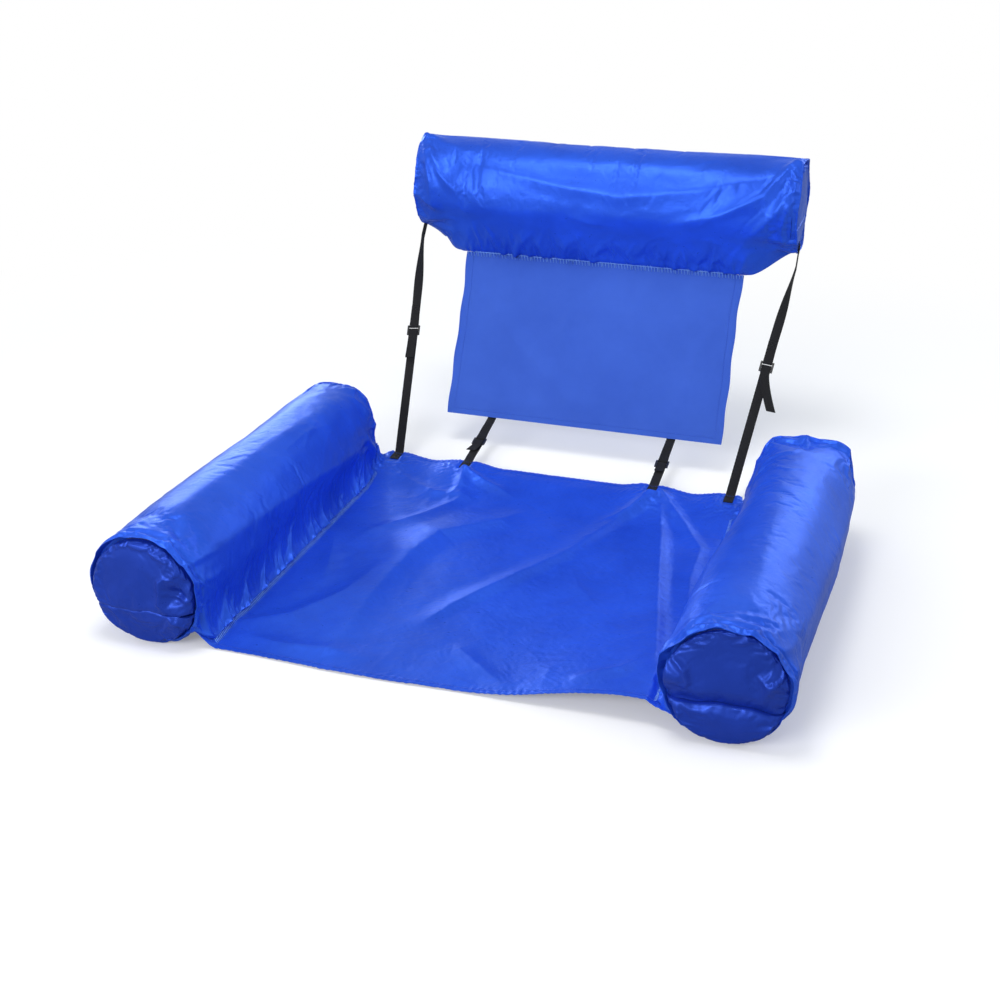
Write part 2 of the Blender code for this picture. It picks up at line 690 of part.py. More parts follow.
def back_panel(finish, carrier):
    """The panel in rows up its length. Its sides and foot carry a turned hem."""
    columns = list(PANEL_COLUMN_SHARES)
    columns += [-c for c in reversed(columns[:-1])]
    hem = PANEL_HEM / PANEL_LENGTH
    rows = [0, hem * 0.9, hem * 1.2, *PANEL_ROW_SHARES]
    front, back = [], []
    for v in rows:
        front.append([])
        back.append([])
        for u in columns:
            edge = PANEL_HALF * (u + 0.006 * sin(7 * v) * u * v)
            wave = PANEL_WAVE * sin(pi * v) * cos(4.5 * u + 2 * v) * smooth((v - hem) / 0.3)
            turned = abs(u) > SIDE_HEM_SHARE or v < hem
            half = PANEL_CLOTH / 2 + (HEM_STEP if turned else 0)
            foot = PANEL_FOOT + PANEL_UP * (PANEL_LENGTH * v) + Vector((edge, 0, 0))
            front[-1].append(foot + PANEL_FRONT * (wave + half))
            back[-1].append(foot + PANEL_FRONT * (wave - half))
    add_object("back_panel", slab(front, back), finish, carrier)


# Straps and ladder-lock buckles

class Run:
    """A strap's straight run: where it starts, its direction and its buckle's middle."""

    def __init__(self, start, end, buckle_share):
        self.start = start
        self.length = (end - start).length
        self.along = (end - start).normalized()
        across = Vector((1, 0, 0))
        self.across = (across - self.along * across.dot(self.along)).normalized()
        self.front = self.across.cross(self.along)
        self.buckle = self.length * buckle_share

    def at(self, along, front):
        """A point at a distance up the run from the buckle's middle."""
        return self.start + self.along * (self.buckle + along) + self.front * front


def loop_path(bar, turn):
    """Webbing round a bar from the back to the front, over it (1) or under it (-1)."""
    points = []
    for k in range(LOOP_STEPS + 1):
        angle = pi * k / LOOP_STEPS
        along = bar + turn * (LOOP_RISE + STRAP_OFFSET * sin(angle))
        points.append((along, -STRAP_OFFSET * cos(angle)))
    return points


def lower_strap(name, run, tail, finish, carrier):
    """From the seat's hem up behind the buckle, over its middle bar and down as a tail."""
    path = [(STRAP_START - run.buckle, 0), (-run.buckle / 2, -STRAP_OFFSET / 2)]
    path += [(-BAR_PITCH - SETTLE, -STRAP_OFFSET), (-BAR_PITCH, -STRAP_OFFSET), (0, -STRAP_OFFSET)]
    path += loop_path(0, 1)
    path += [(0, STRAP_OFFSET), (-BAR_PITCH - BAR, STRAP_OFFSET)]
    for share in TAIL_SHARES:
        out = STRAP_OFFSET + TAIL_SWING * tail * share ** 1.5
        path.append((-BAR_PITCH - BAR - tail * share, out))
    stations = [(run.at(*point), run.across) for point in path]
    stations[0] = (stations[0][0], Vector((1, 0, 0)))
    add_object(name, webbing(stations), finish, carrier)


def top_loop(run, reach):
    """Sewn webbing under the buckle's top bar: its return end first, then the strap."""
    beside = WEB_DEPTH + RETURN_GAP
    path = [(BAR_PITCH + RETURN, beside), (BAR_PITCH + 2.2 * SETTLE, beside)]
    path += [(BAR_PITCH + SETTLE / 2, STRAP_OFFSET), (BAR_PITCH, STRAP_OFFSET)]
    path += reversed(loop_path(BAR_PITCH, -1))
    path += [(BAR_PITCH, -STRAP_OFFSET), (BAR_PITCH + SETTLE / 2, -STRAP_OFFSET)]
    path += [(BAR_PITCH + 2.2 * SETTLE, 0)]
    if reach:
        path.append((BAR_PITCH + RETURN, 0))
    return [(run.at(*point), run.across) for point in path]


def outer_upper_strap(name, side, run, tab_foot, finish, carrier):
    """From the buckle, through a quarter twist, to a tab flat on the headrest's end."""
    stations = top_loop(run, reach=True)
    start = stations[-1][0]
    stop = tab_foot - run.along * TAB_STRAIGHT
    stop.x = tab_foot.x
    flat = Vector((0, run.along.y, run.along.z)).normalized()
    edge = flat.cross(Vector((side, 0, 0))) * side
    for k in range(1, TWIST_STEPS):
        share = k / TWIST_STEPS
        turn = pi / 2 * smooth(share)
        across = run.across * cos(turn) + edge * sin(turn)
        stations.append((start.lerp(stop, share), across))
    for reach in (0, TAB_STRAIGHT, TAB_STRAIGHT + TAB):
        stations.append((stop + flat * reach, edge))
    add_object(name, webbing(stations), finish, carrier)


def inner_upper_strap(name, x, run, hem, finish, carrier):
    """From the buckle to the panel's foot, then up behind it."""
    stations = top_loop(run, reach=False)
    x_line = Vector((1, 0, 0))
    bend = [hem - run.along * (WEB / 2), hem, hem + PANEL_UP * (WEB / 2), hem + PANEL_UP * PANEL_TAB]
    bend[0] += (run.at(0, 0) - hem).dot(run.front) * run.front
    first = bend[0].lerp(bend[1], 0.5) + (bend[2] - bend[0]) * 0.06
    stations += [(bend[0], x_line), (first, x_line)] + [(p, x_line) for p in bend[1:]]
    add_object(name, webbing(stations), finish, carrier)


def buckle_mesh():
    """A ladder-lock: two rails joined by three bars, with two slots between them."""
    rail = WEB / 2 + SLOT_SIDE
    wide = [-BUCKLE_HALF, -rail, rail, BUCKLE_HALF]
    long = []
    for pitch in (-BAR_PITCH, 0, BAR_PITCH):
        long += [pitch - BAR / 2, pitch + BAR / 2]
    mesh = bmesh.new()
    grid = [[mesh.verts.new((x, y, -BUCKLE_DEPTH / 2)) for x in wide] for y in long]
    for j in range(len(long) - 1):
        for i in range(len(wide) - 1):
            if i == 1 and j % 2 == 1:
                continue
            mesh.faces.new((grid[j][i], grid[j][i + 1], grid[j + 1][i + 1], grid[j + 1][i]))
    grown = bmesh.ops.extrude_face_region(mesh, geom=list(mesh.faces))
    raised = [item for item in grown["geom"] if isinstance(item, bmesh.types.BMVert)]
    bmesh.ops.translate(mesh, verts=raised, vec=(0, 0, BUCKLE_DEPTH))
    bmesh.ops.dissolve_limit(mesh, angle_limit=radians(1), verts=mesh.verts, edges=mesh.edges)
    bmesh.ops.recalc_face_normals(mesh, faces=mesh.faces)
    data = bpy.data.meshes.new("ladder_lock")
    mesh.to_mesh(data)
    mesh.free()
    return data


def buckle(name, data, run, carrier):
    made = bpy.data.objects.new(name, data)
    bpy.context.scene.collection.objects.link(made)
    made.parent = carrier
    made.location = run.at(0, 0) - carrier.matrix_world.translation
    turned = [run.across, run.along, run.front]
    made.rotation_euler = axes_matrix(turned).to_euler()
    edges = made.modifiers.new("Edges", "BEVEL")
    edges.width = BUCKLE_ROUND
    edges.segments = 1
    return made


def axes_matrix(axes):
    matrix = axes[0].to_track_quat("X", "Z").to_matrix()
    for column, axis in enumerate(axes):
        matrix.col[column] = axis
    return matrix


def build():
    clear_scene()
    blue = material("coated_nylon_blue", (0.026, 0.090, 0.640), 0.30)
    matte = material("woven_polyester_blue", (0.060, 0.140, 0.590), 0.62)
    web = material("webbing_black", (0.018, 0.018, 0.020), 0.80)
    acetal = material("buckle_black", (0.012, 0.012, 0.013), 0.35)
    finishes = {
        "cloth": blue,
        "bladder": material("pvc_bladder", (0.55, 0.62, 0.70), 0.25),
        "valve": material("valve_plastic", (0.62, 0.66, 0.70), 0.40),
        "plug": material("valve_plastic_plug", (0.60, 0.64, 0.68), 0.40),
        "hook": material("hook_tape", (0.020, 0.045, 0.240), 0.90),
        "loop": material("loop_tape", (0.022, 0.050, 0.260), 0.95),
    }

    seat = pivot("seat", (0, 0, 0))
    seat_sheet(blue, seat)

    for side, sign in SIDES.items():
        prefix = side + "_arm"
        end = End((sign * ARM_X, MOUTH_Y, ARM_Z), (-sign, 0, 0), (0, 0, 1), (0, -1, 0))
        rear = End((sign * ARM_X, -MOUTH_Y, ARM_Z), (sign, 0, 0), (0, 0, 1), (0, 1, 0))
        arm = pivot(prefix, (sign * SEAM_X, 0, SEAM_Z), seat)
        flap = pivot(prefix + "_flap_hinge", flap_axis(end, ARM_MOUTH), arm)
        plug = pivot(prefix + "_plug_slide", end.at(0, 0, -BLADDER_DEPTH), arm)
        arm_sleeve(prefix + "_sleeve", end, blue, arm)
        rear_end = End(rear.at(0, 0, -CLOTH), rear.side, rear.up, rear.out)
        sewn_cap(prefix + "_rear_cap", rear_end, ARM_MOUTH - GAP, ARM_DOME, 1.2, blue, arm)
        domes = (FLAP_DOME, SEGMENT_DOME)
        opening(prefix, prefix + "_front_cap", end, ARM_MOUTH, domes, finishes, arm, flap)
        back = -ARM_LENGTH + CLOTH * 2 + GAP
        room = clear_radius(arm_angles(), ARM_RING_SHARES, arm_radius, ARM_LENGTH, back)
        bladder(prefix, end, room, back, finishes, arm, plug)

    straps = pivot("webbing", HINGE, seat)
    backrest = pivot("backrest", HINGE, straps)
    headrest = pivot("headrest", SEAM_TOP, backrest)
    back_panel(matte, backrest)

    head_end = End(HEAD_AXIS + Vector((HEAD_HALF, 0, 0)), (0, 1, 0), (0, 0, 1), (1, 0, 0))
    head_left = End(HEAD_AXIS - Vector((HEAD_HALF, 0, 0)), (0, -1, 0), (0, 0, 1), (-1, 0, 0))
    headrest_sleeve(head_end, blue, headrest)
    sunk = End(head_left.at(0, 0, -END_DISH - CLOTH), head_left.side, head_left.up, head_left.out)
    sewn_cap("headrest_left_cap", sunk, HEAD_MOUTH - GAP, CLOTH, 0, blue, headrest)
    flap = pivot("headrest_flap_hinge", flap_axis(head_end, HEAD_MOUTH), headrest)
    plug = pivot("headrest_plug_slide", head_end.at(0, 0, -BLADDER_DEPTH), headrest)
    domes = (HEAD_FLAP_DOME, 0)
    opening("headrest", "headrest_right_cap", head_end, HEAD_MOUTH, domes, finishes, headrest, flap)
    back = -2 * HEAD_HALF + END_DISH + CLOTH * 2 + GAP
    room = clear_radius(head_angles(), HEAD_RING_SHARES, head_radius, 2 * HEAD_HALF, back)
    bladder("headrest", head_end, room, back, finishes, headrest, plug)

    lock = buckle_mesh()
    lock.materials.append(acetal)
    for side, sign in SIDES.items():
        for place, x in (("inner", INNER_X), ("outer", OUTER_X)):
            name = side + "_" + place
            anchor(name + "_anchor", sign * x, web, seat)
            start = HINGE + Vector((sign * x, 0, 0))
            if place == "outer":
                tab_x = sign * (HEAD_HALF + GAP + WEB_DEPTH / 2)
                top = Vector((tab_x, HINGE.y + OUTER_TOP_BACK, HINGE.z + OUTER_TOP_RISE))
                run = Run(start, top, OUTER_BUCKLE_SHARE)
                outer_upper_strap(name + "_upper_strap", sign, run, top, web, backrest)
            else:
                behind = PANEL_CLOTH / 2 + HEM_STEP + GAP + WEB_DEPTH / 2
                hem = PANEL_FOOT - PANEL_FRONT * behind - PANEL_UP * HEM_CLEAR
                hem.x = sign * x
                run = Run(start, hem, INNER_BUCKLE_SHARE)
                inner_upper_strap(name + "_upper_strap", sign * x, run, hem, web, backrest)
            buckle(name + "_buckle", lock, run, backrest)
            lower_strap(name + "_lower_strap", run, TAILS[name], web, straps)


build()
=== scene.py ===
"""Looks for an inflatable water hammock: coated nylon, matte panel cloth, webbing and thread
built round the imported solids. Metres, +Z up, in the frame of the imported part."""
from math import cos, hypot, pi, radians, sin

import bpy
import numpy as np
from mathutils import Matrix, Vector

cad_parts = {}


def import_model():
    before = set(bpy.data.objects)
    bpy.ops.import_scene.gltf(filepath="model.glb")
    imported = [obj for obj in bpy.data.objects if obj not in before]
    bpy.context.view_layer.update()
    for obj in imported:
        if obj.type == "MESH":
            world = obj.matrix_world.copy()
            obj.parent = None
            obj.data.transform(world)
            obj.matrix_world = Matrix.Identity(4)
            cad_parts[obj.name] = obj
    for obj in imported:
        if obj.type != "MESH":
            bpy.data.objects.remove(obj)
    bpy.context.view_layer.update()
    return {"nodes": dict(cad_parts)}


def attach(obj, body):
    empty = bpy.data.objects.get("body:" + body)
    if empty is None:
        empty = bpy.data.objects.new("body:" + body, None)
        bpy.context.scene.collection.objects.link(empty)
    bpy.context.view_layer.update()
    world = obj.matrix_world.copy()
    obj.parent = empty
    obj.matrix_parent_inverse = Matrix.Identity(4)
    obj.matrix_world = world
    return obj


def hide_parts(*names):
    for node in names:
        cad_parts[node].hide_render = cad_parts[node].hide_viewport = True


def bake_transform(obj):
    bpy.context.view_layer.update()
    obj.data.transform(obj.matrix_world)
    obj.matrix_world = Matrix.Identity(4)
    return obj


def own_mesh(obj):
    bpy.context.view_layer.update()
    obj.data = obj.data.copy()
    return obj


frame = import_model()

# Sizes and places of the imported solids
CLOTH, SEAT_CLOTH, GAP, TAPE_WIDTH = 0.0012, 0.0016, 0.0003, 0.015
ARM_X, ARM_Z, ARM_R, ARM_HALF, ARM_DRAW = 0.496, 0.1035, 0.104, 0.3925, 0.0045
SEAM, SEAM_Z = -pi / 4, 0.029962
SEAT_FRONT, SEAT_REAR = -0.3825, 0.4625
SEAT_EDGE, SEAT_FLAT, SEAT_CORNER = 0.42216, 0.37616, 0.39216
HINGE = np.array((0, SEAT_REAR, 0.0305))
LEAN = radians(24)
PANEL_UP = np.array((0, sin(LEAN), cos(LEAN)))
PANEL_OUT = np.array((0, -cos(LEAN), sin(LEAN)))
PANEL_FOOT = HINGE + (0, 0.165, 0.040)
PANEL_HALF, PANEL_LENGTH = 0.317, 0.369
SEAM_TOP = PANEL_FOOT + PANEL_UP * (PANEL_LENGTH + GAP)
HEAD_BACK, HEAD_RISE = 0.045, 0.145
HEAD_AXIS = SEAM_TOP + (0, HEAD_BACK, HEAD_RISE)
HEAD_HALF, HEAD_R, HEAD_DRAW, HEAD_TAPER = 0.4248, 0.100, 0.003, 0.100
HEAD_SEAM = np.arctan2(-HEAD_RISE, -HEAD_BACK)
HEAD_REACH = hypot(HEAD_BACK, HEAD_RISE) - GAP
RECESS, LIP_DEPTH, LIP_WIDTH = 0.006, 0.0099, 0.022
ARM_MOUTH = (ARM_R - ARM_DRAW - CLOTH) * cos(pi / 30)
HEAD_MOUTH = (HEAD_R - HEAD_DRAW - CLOTH) * cos(pi / 30)
VALVE_FACE, ARM_BLADDER_R, HEAD_BLADDER_R = 0.0291, 0.0945, 0.0935
INNER_X, OUTER_X = 0.206, 0.36716
WEB, WEB_DEPTH = 0.020, 0.0012
# How far an arm's cover leans sideways at its rear, and where its side meets the seat
REAR_SHIFT = {"left": 0.013, "right": 0.018}
FOOT_X = 0.3875


# Numbers

# Cells in a lattice of noise, and how far a fold's section reaches in its widths
LATTICE, FOLD_SPREAD = 96, 2.4


def smooth(t):
    t = np.clip(t, 0.0, 1.0)
    return t * t * (3 - 2 * t)


def bell(*offs):
    """A bump of height 1 that dies away with every offset."""
    return np.exp(-sum(off ** 2 for off in offs))


def angles(cols, start=0.0):
    """Even angles all the way round, as a row."""
    return start + 2 * pi * np.arange(cols)[None, :] / cols


def angle_off(turn, at):
    """The angle from one direction to others, from -pi to pi."""
    return (turn - at + pi) % (2 * pi) - pi


def noise(x, y, seed):
    """Smooth noise from -1 to 1 on a lattice of unit cells that repeats."""
    table = np.random.default_rng(seed).uniform(-1, 1, (LATTICE, LATTICE))
    x, y = np.broadcast_arrays(x, y)
    x0, y0 = np.floor(x).astype(int), np.floor(y).astype(int)
    u, v = x - x0, y - y0
    u, v = u ** 3 * (u * (6 * u - 15) + 10), v ** 3 * (v * (6 * v - 15) + 10)
    a, b = x0 % LATTICE, y0 % LATTICE
    c, d = (a + 1) % LATTICE, (b + 1) % LATTICE
    low = table[a, b] * (1 - u) + table[c, b] * u
    high = table[a, d] * (1 - u) + table[c, d] * u
    return low * (1 - v) + high * v


def layers(x, y, seed):
    """Noise in four layers, each twice as fine and half as strong as the one before."""
    total = 0
    for k in range(4):
        total = total + noise(x * 2 ** k + 17 * k, y * 2 ** k + 5 * k, seed + k) / 2 ** k
    return total / 1.8


def crumple(x, y, seed):
    """Creased noise from 0 to 1: flat facets that meet in sharp, branching ridges."""
    wx = x + 0.6 * noise(x * 0.9, y * 0.9, seed + 50)
    wy = y + 0.6 * noise(x * 0.9 + 31, y * 0.9, seed + 51)
    one = 1 - np.abs(noise(wx, wy, seed))
    two = 1 - np.abs(noise(wx * 2.3 + 9, wy * 2.3, seed + 1))
    return one ** 3 * 0.7 + two ** 3 * 0.3


def peak(off, width):
    """A fold's section: a softened crest that falls away to nothing at its width."""
    tip = 0.15 * width
    return np.clip(1 - (np.hypot(off, tip) - tip) / width, 0, 1) ** 2


def puckers(t, away, seed, span, count, width, height, reach, lean=0.0, wrap=0.0, fan=-0.5):
    """Single folds that start on a line and die out away from it. t runs along the line."""
    rng = np.random.default_rng(seed)
    total = 0
    for k in range(count):
        place = span[0] + (span[1] - span[0]) * (k + rng.uniform(0.1, 0.9)) / count
        wide = width * rng.uniform(0.6, 1.5)
        tall = height * rng.uniform(0.35, 1.3)
        far = reach * rng.uniform(0.35, 1.6)
        off = t - place - lean * rng.uniform(-1, 1) * away
        if wrap:
            off = (off + wrap / 2) % wrap - wrap / 2
        spread = FOLD_SPREAD * wide * np.clip(1 + fan * away / far, 0.2, 4)
        total = total + tall * peak(off / spread, 1) * np.clip(1 - away / far, 0, 1) ** 1.3
    return total


def pleats(t, away, seed, pitch, height, reach):
    """Gathers on a seam: close ribs at the line that merge as they run out from it."""
    total = 0
    for k, (far, share) in enumerate(((0.4, 0.35), (0.7, 0.6), (1.0, 0.9))):
        step = pitch * 2 ** k
        phase = t / step + 0.7 * noise(t / step / 2.3, away / (reach * far) * 0.8, seed + k)
        rib = (1 - np.abs(2 * (phase % 1) - 1)) ** 1.4
        tall = np.clip(0.5 + 0.9 * noise(t / step / 1.4, 0.5, seed + 10 + k), 0, 1.3)
        out = reach * far * (0.75 + 0.6 * noise(t / step / 1.2, 0.5, seed + 20 + k))
        total = total + share * rib * tall * np.clip(1 - away / out, 0, 1)
    return height * total


def crease(x, y, line, width, height, side=1.0):
    """A long fold along a line of (x, y, share of its height). side > 1 steepens its left."""
    best = np.full(np.broadcast(x, y).shape, 9.0)
    tall = np.zeros_like(best)
    flank = np.zeros_like(best)
    for (ax, ay, ah), (bx, by, bh) in zip(line, line[1:]):
        dx, dy = bx - ax, by - ay
        long = dx * dx + dy * dy
        t = np.clip(((x - ax) * dx + (y - ay) * dy) / long, 0, 1)
        far = np.hypot(x - ax - t * dx, y - ay - t * dy)
        near = far < best
        best = np.where(near, far, best)
        tall = np.where(near, ah + (bh - ah) * t, tall)
        flank = np.where(near, (x - ax) * dy - (y - ay) * dx, flank)
    spread = FOLD_SPREAD * np.where(flank < 0, width / side, width * side)
    return height * tall * peak(best / spread, 1)


def bumps(x, y, table):
    """Round swellings and dents from (x, y, width, height) rows."""
    return sum(h * np.exp(-((x - a) ** 2 + (y - b) ** 2) / w ** 2) for a, b, w, h in table)


def along_curve(points, step):
    """Points at even steps on a smooth curve through the given points."""
    p = np.array(points, float)
    p = np.vstack([2 * p[0] - p[1], p, 2 * p[-1] - p[-2]])
    fine = []
    for a, b, c, d in zip(p, p[1:], p[2:], p[3:]):
        for t in np.linspace(0, 1, 24, endpoint=False):
            fine.append(0.5 * (2 * b + (c - a) * t + (2 * a - 5 * b + 4 * c - d) * t ** 2
                               + (3 * b - a - 3 * c + d) * t ** 3))
    fine.append(p[-2])
    fine = np.array(fine)
    length = lengths(fine)
    at = np.linspace(0, length[-1], max(2, int(length[-1] / step) + 1))
    return np.stack([np.interp(at, length, fine[:, k]) for k in range(fine.shape[1])], axis=1)


# Meshes

def normals(grid, wrap=False):
    """Unit normals of a grid of points, rows by columns. wrap joins its first and last columns."""
    down = np.gradient(grid, axis=0)
    if wrap:
        side = (np.roll(grid, -1, 1) - np.roll(grid, 1, 1)) / 2
    else:
        side = np.gradient(grid, axis=1)
    out = np.cross(side, down)
    return out / np.maximum(np.linalg.norm(out, axis=2, keepdims=True), 1e-12)


def lengths(points, axis=0):
    """Distances from the first point along a line of points, or along a grid's mean line."""
    steps = np.linalg.norm(np.diff(points, axis=axis), axis=-1)
    return np.r_[0, np.cumsum(steps if steps.ndim == 1 else steps.mean(1 - axis))]


def piece(name, points, faces, finish, uv=None, edges_sharp=50):
    data = bpy.data.meshes.new(name)
    data.from_pydata([tuple(p) for p in points], [], faces)
    if uv is not None:
        layer = data.uv_layers.new(name="UVMap")
        layer.data.foreach_set("uv", np.asarray(uv, float).ravel())
    data.update()
    data.shade_smooth()
    if edges_sharp:
        data.set_sharp_from_angle(angle=radians(edges_sharp))
    data.materials.append(finish)
    made = bpy.data.objects.new(name, data)
    bpy.context.scene.collection.objects.link(made)
    return made


def skin(name, grid, finish, wrap=False, ring=False, poles=False, edges_sharp=50):
    """A mesh over a grid of points. wrap joins its columns round, ring joins its last row to
    its first, and poles closes a wrapped grid at both ends."""
    rows, cols = grid.shape[:2]
    points = grid.reshape(-1, 3)
    j = np.arange(rows if ring else rows - 1)
    i = np.arange(cols if wrap else cols - 1)
    jj, ii = np.meshgrid(j, i, indexing="ij")
    j2, i2 = (jj + 1) % rows, (ii + 1) % cols
    quads = np.stack([jj * cols + ii, jj * cols + i2, j2 * cols + i2, j2 * cols + ii], axis=-1)
    u = lengths(np.concatenate([grid, grid[:, :1]], axis=1), 1)
    v = lengths(np.concatenate([grid, grid[:1]]))
    uv = np.stack([np.stack([u[ii], v[jj]], -1), np.stack([u[ii + 1], v[jj]], -1),
                   np.stack([u[ii + 1], v[jj + 1]], -1), np.stack([u[ii], v[jj + 1]], -1)], axis=2)
    faces = quads.reshape(-1, 4).tolist()
    uv = uv.reshape(-1, 2)
    if poles:
        points = np.vstack([points, grid[0].mean(0), grid[-1].mean(0)])
        a, b = rows * cols, rows * cols + 1
        for k in range(cols):
            n = (k + 1) % cols
            faces += [[a, n, k], [b, (rows - 1) * cols + k, (rows - 1) * cols + n]]
        uv = np.vstack([uv, np.zeros((6 * cols, 2))])
    return piece(name, points, faces, finish, uv, edges_sharp)


def cloth_sheet(name, grid, thick, finish, below=None):
    """A sheet with two faces and a closed rim. The grid is its top face, and below, where
    it is given, its other face."""
    if below is None:
        below = grid - normals(grid) * thick
    top, low = grid, below
    rows, cols = grid.shape[:2]
    count = rows * cols
    j, i = np.meshgrid(np.arange(rows - 1), np.arange(cols - 1), indexing="ij")
    a = j * cols + i
    upper = np.stack([a, a + 1, a + cols + 1, a + cols], -1).reshape(-1, 4)
    lower = (np.stack([a, a + cols, a + cols + 1, a + 1], -1) + count).reshape(-1, 4)
    loop = list(range(cols)) + [r * cols + cols - 1 for r in range(1, rows)]
    loop += [(rows - 1) * cols + c for c in range(cols - 2, -1, -1)]
    loop += [r * cols for r in range(rows - 2, 0, -1)]
    side = [[p + count, q + count, q, p] for p, q in zip(loop, loop[1:] + loop[:1])]
    u, v = lengths(grid, 1), lengths(grid)
    flat = np.stack(np.meshgrid(v, u, indexing="ij")[::-1], -1).reshape(-1, 2)
    faces = upper.tolist() + lower.tolist() + side
    where = np.array(faces).ravel() % count
    points = np.vstack([top.reshape(-1, 3), low.reshape(-1, 3)])
    return piece(name, points, faces, finish, flat[where])


def rods(name, runs, radius, finish, sides=6):
    """Round cord through each run of points, all in one mesh, with rounded tips."""
    points, faces, start = [], [], 0
    for run in runs:
        p = np.array(run, float)
        along = np.gradient(p, axis=0)
        along /= np.linalg.norm(along, axis=1, keepdims=True)
        up = np.tile((0.0, 0.0, 1.0), (len(p), 1))
        up[np.abs(along[:, 2]) > 0.9] = (0.0, 1.0, 0.0)
        one = np.cross(along, up)
        one /= np.linalg.norm(one, axis=1, keepdims=True)
        two = np.cross(one, along)
        size = np.full(len(p), radius)
        size[[0, -1]] *= 0.45
        turn = 2 * pi * np.arange(sides) / sides
        ring = p[:, None] + size[:, None, None] * (
            one[:, None] * np.cos(turn)[None, :, None] + two[:, None] * np.sin(turn)[None, :, None])
        points.append(ring.reshape(-1, 3))
        for j in range(len(p) - 1):
            for i in range(sides):
                a, b = start + j * sides + i, start + j * sides + (i + 1) % sides
                faces.append([a, b, b + sides, a + sides])
        last = start + (len(p) - 1) * sides
        faces.append([start + i for i in range(sides)][::-1])
        faces.append([last + i for i in range(sides)])
        start += len(p) * sides
    return piece(name, np.vstack(points), faces, finish, edges_sharp=0)


def stitch_runs(path, out, stitch=0.0030, gap=0.0012, lift=0.0004):
    """Running stitches along a path of points, each bowed a little off the cloth."""
    length = lengths(path)

    def at(d):
        place = np.array([np.interp(d, length, path[:, k]) for k in range(3)])
        away = np.array([np.interp(d, length, out[:, k]) for k in range(3)])
        return place, away / np.linalg.norm(away)

    runs, d = [], gap
    while d + stitch < length[-1]:
        run = []
        for share, high in ((0, -0.3), (0.25, 0.8), (0.75, 0.8), (1, -0.3)):
            place, away = at(d + stitch * share)
            run.append(place + away * lift * high)
        runs.append(run)
        d += stitch + gap
    return runs


# Cloth simulation

def resample(grid, rows, cols, wrap=False):
    """The same surface on another number of rows and columns, through a smooth curve."""
    def one_way(g, count, closed):
        n = len(g)
        t = np.arange(count) * n / count if closed else np.linspace(0, n - 1, count)
        k = np.floor(t).astype(int) if closed else np.minimum(t.astype(int), n - 2)
        f = (t - k)[:, None, None]
        a, b, c, d = (g[(k + m) % n if closed else np.clip(k + m, 0, n - 1)] for m in (-1, 0, 1, 2))
        return b + 0.5 * f * (c - a + f * (2 * a - 5 * b + 4 * c - d + f * (3 * (b - c) + d - a)))

    return one_way(one_way(grid, rows, False).swapaxes(0, 1), cols, wrap).swapaxes(0, 1)


class Cloth:
    """Cloth to be settled: its start as a grid, where it is sewn down (1 is fast) and how much
    longer it was cut than its seams. It swells away from the point inside."""

    def __init__(self, start, rows, cols, wrap, sewn, extra, inside, pressure, cap,
                 calm=0.5, stiff=0.05):
        self.start, self.wrap, self.cap, self.calm, self.stiff = start, wrap, cap, calm, stiff
        self.grid = resample(start, rows, cols, wrap)
        self.sewn = np.clip(resample(sewn[..., None], rows, cols, wrap)[..., 0], 0, 1)
        self.extra = np.clip(resample(extra[..., None], rows, cols, wrap)[..., 0], 0, 0.3)
        self.inside, self.pressure = np.array(inside), pressure

    def begin(self, name, frames):
        grid = self.grid
        rows, cols = grid.shape[:2]
        j, i = np.meshgrid(np.arange(rows - 1), np.arange(cols if self.wrap else cols - 1),
                           indexing="ij")
        n = (i + 1) % cols
        faces = np.stack([j * cols + i, j * cols + n, (j + 1) * cols + n, (j + 1) * cols + i], -1)
        faces = faces.reshape(-1, 4)
        if (normals(grid, self.wrap) * (grid - self.inside)).sum() < 0:
            faces = faces[:, ::-1]
        data = bpy.data.meshes.new(name)
        data.from_pydata(grid.reshape(-1, 3).tolist(), [], faces.tolist())
        self.object = bpy.data.objects.new(name, data)
        bpy.context.scene.collection.objects.link(self.object)
        most = float(self.extra.max())
        for group, weights in (("sewn", self.sewn), ("short", 1 - self.extra / most)):
            into = self.object.vertex_groups.new(name=group)
            for k, w in enumerate(weights.ravel()):
                if w > 0.001:
                    into.add([k], float(w), "REPLACE")
        mod = self.object.modifiers.new("cloth", "CLOTH")
        how = mod.settings
        how.quality, how.mass = 5, 0.15
        how.tension_stiffness = how.compression_stiffness = 25
        how.shear_stiffness, how.bending_stiffness = 8, self.stiff
        how.use_pressure, how.uniform_pressure_force = True, self.pressure
        how.vertex_group_mass, how.vertex_group_shrink = "sewn", "short"
        how.shrink_min, how.shrink_max = -most, 0.0
        how.effector_weights.gravity = 0
        mod.collision_settings.use_collision = False
        mod.point_cache.frame_start, mod.point_cache.frame_end = 1, frames

    def end(self, graph):
        """The settled grid on the start's rows and columns. Its broad swelling is held back."""
        data = self.object.evaluated_get(graph).data
        flat = np.empty(len(data.vertices) * 3)
        data.vertices.foreach_get("co", flat)
        moved = flat.reshape(self.grid.shape) - self.grid
        rows, cols = self.grid.shape[:2]
        tall, wide = rows // 12, cols // 12
        blocks = moved[:rows // tall * tall, :cols // wide * wide]
        blocks = blocks.reshape(rows // tall, tall, cols // wide, wide, 3).mean((1, 3))
        broad = resample(blocks, rows, cols, self.wrap)
        moved = moved - self.calm * broad * (1 - self.sewn)[..., None]
        far = np.linalg.norm(moved, axis=2, keepdims=True)
        moved = moved * self.cap * np.tanh(far / self.cap) / np.maximum(far, 1e-9)
        rows, cols = self.start.shape[:2]
        return self.start + resample(moved, rows, cols, self.wrap)


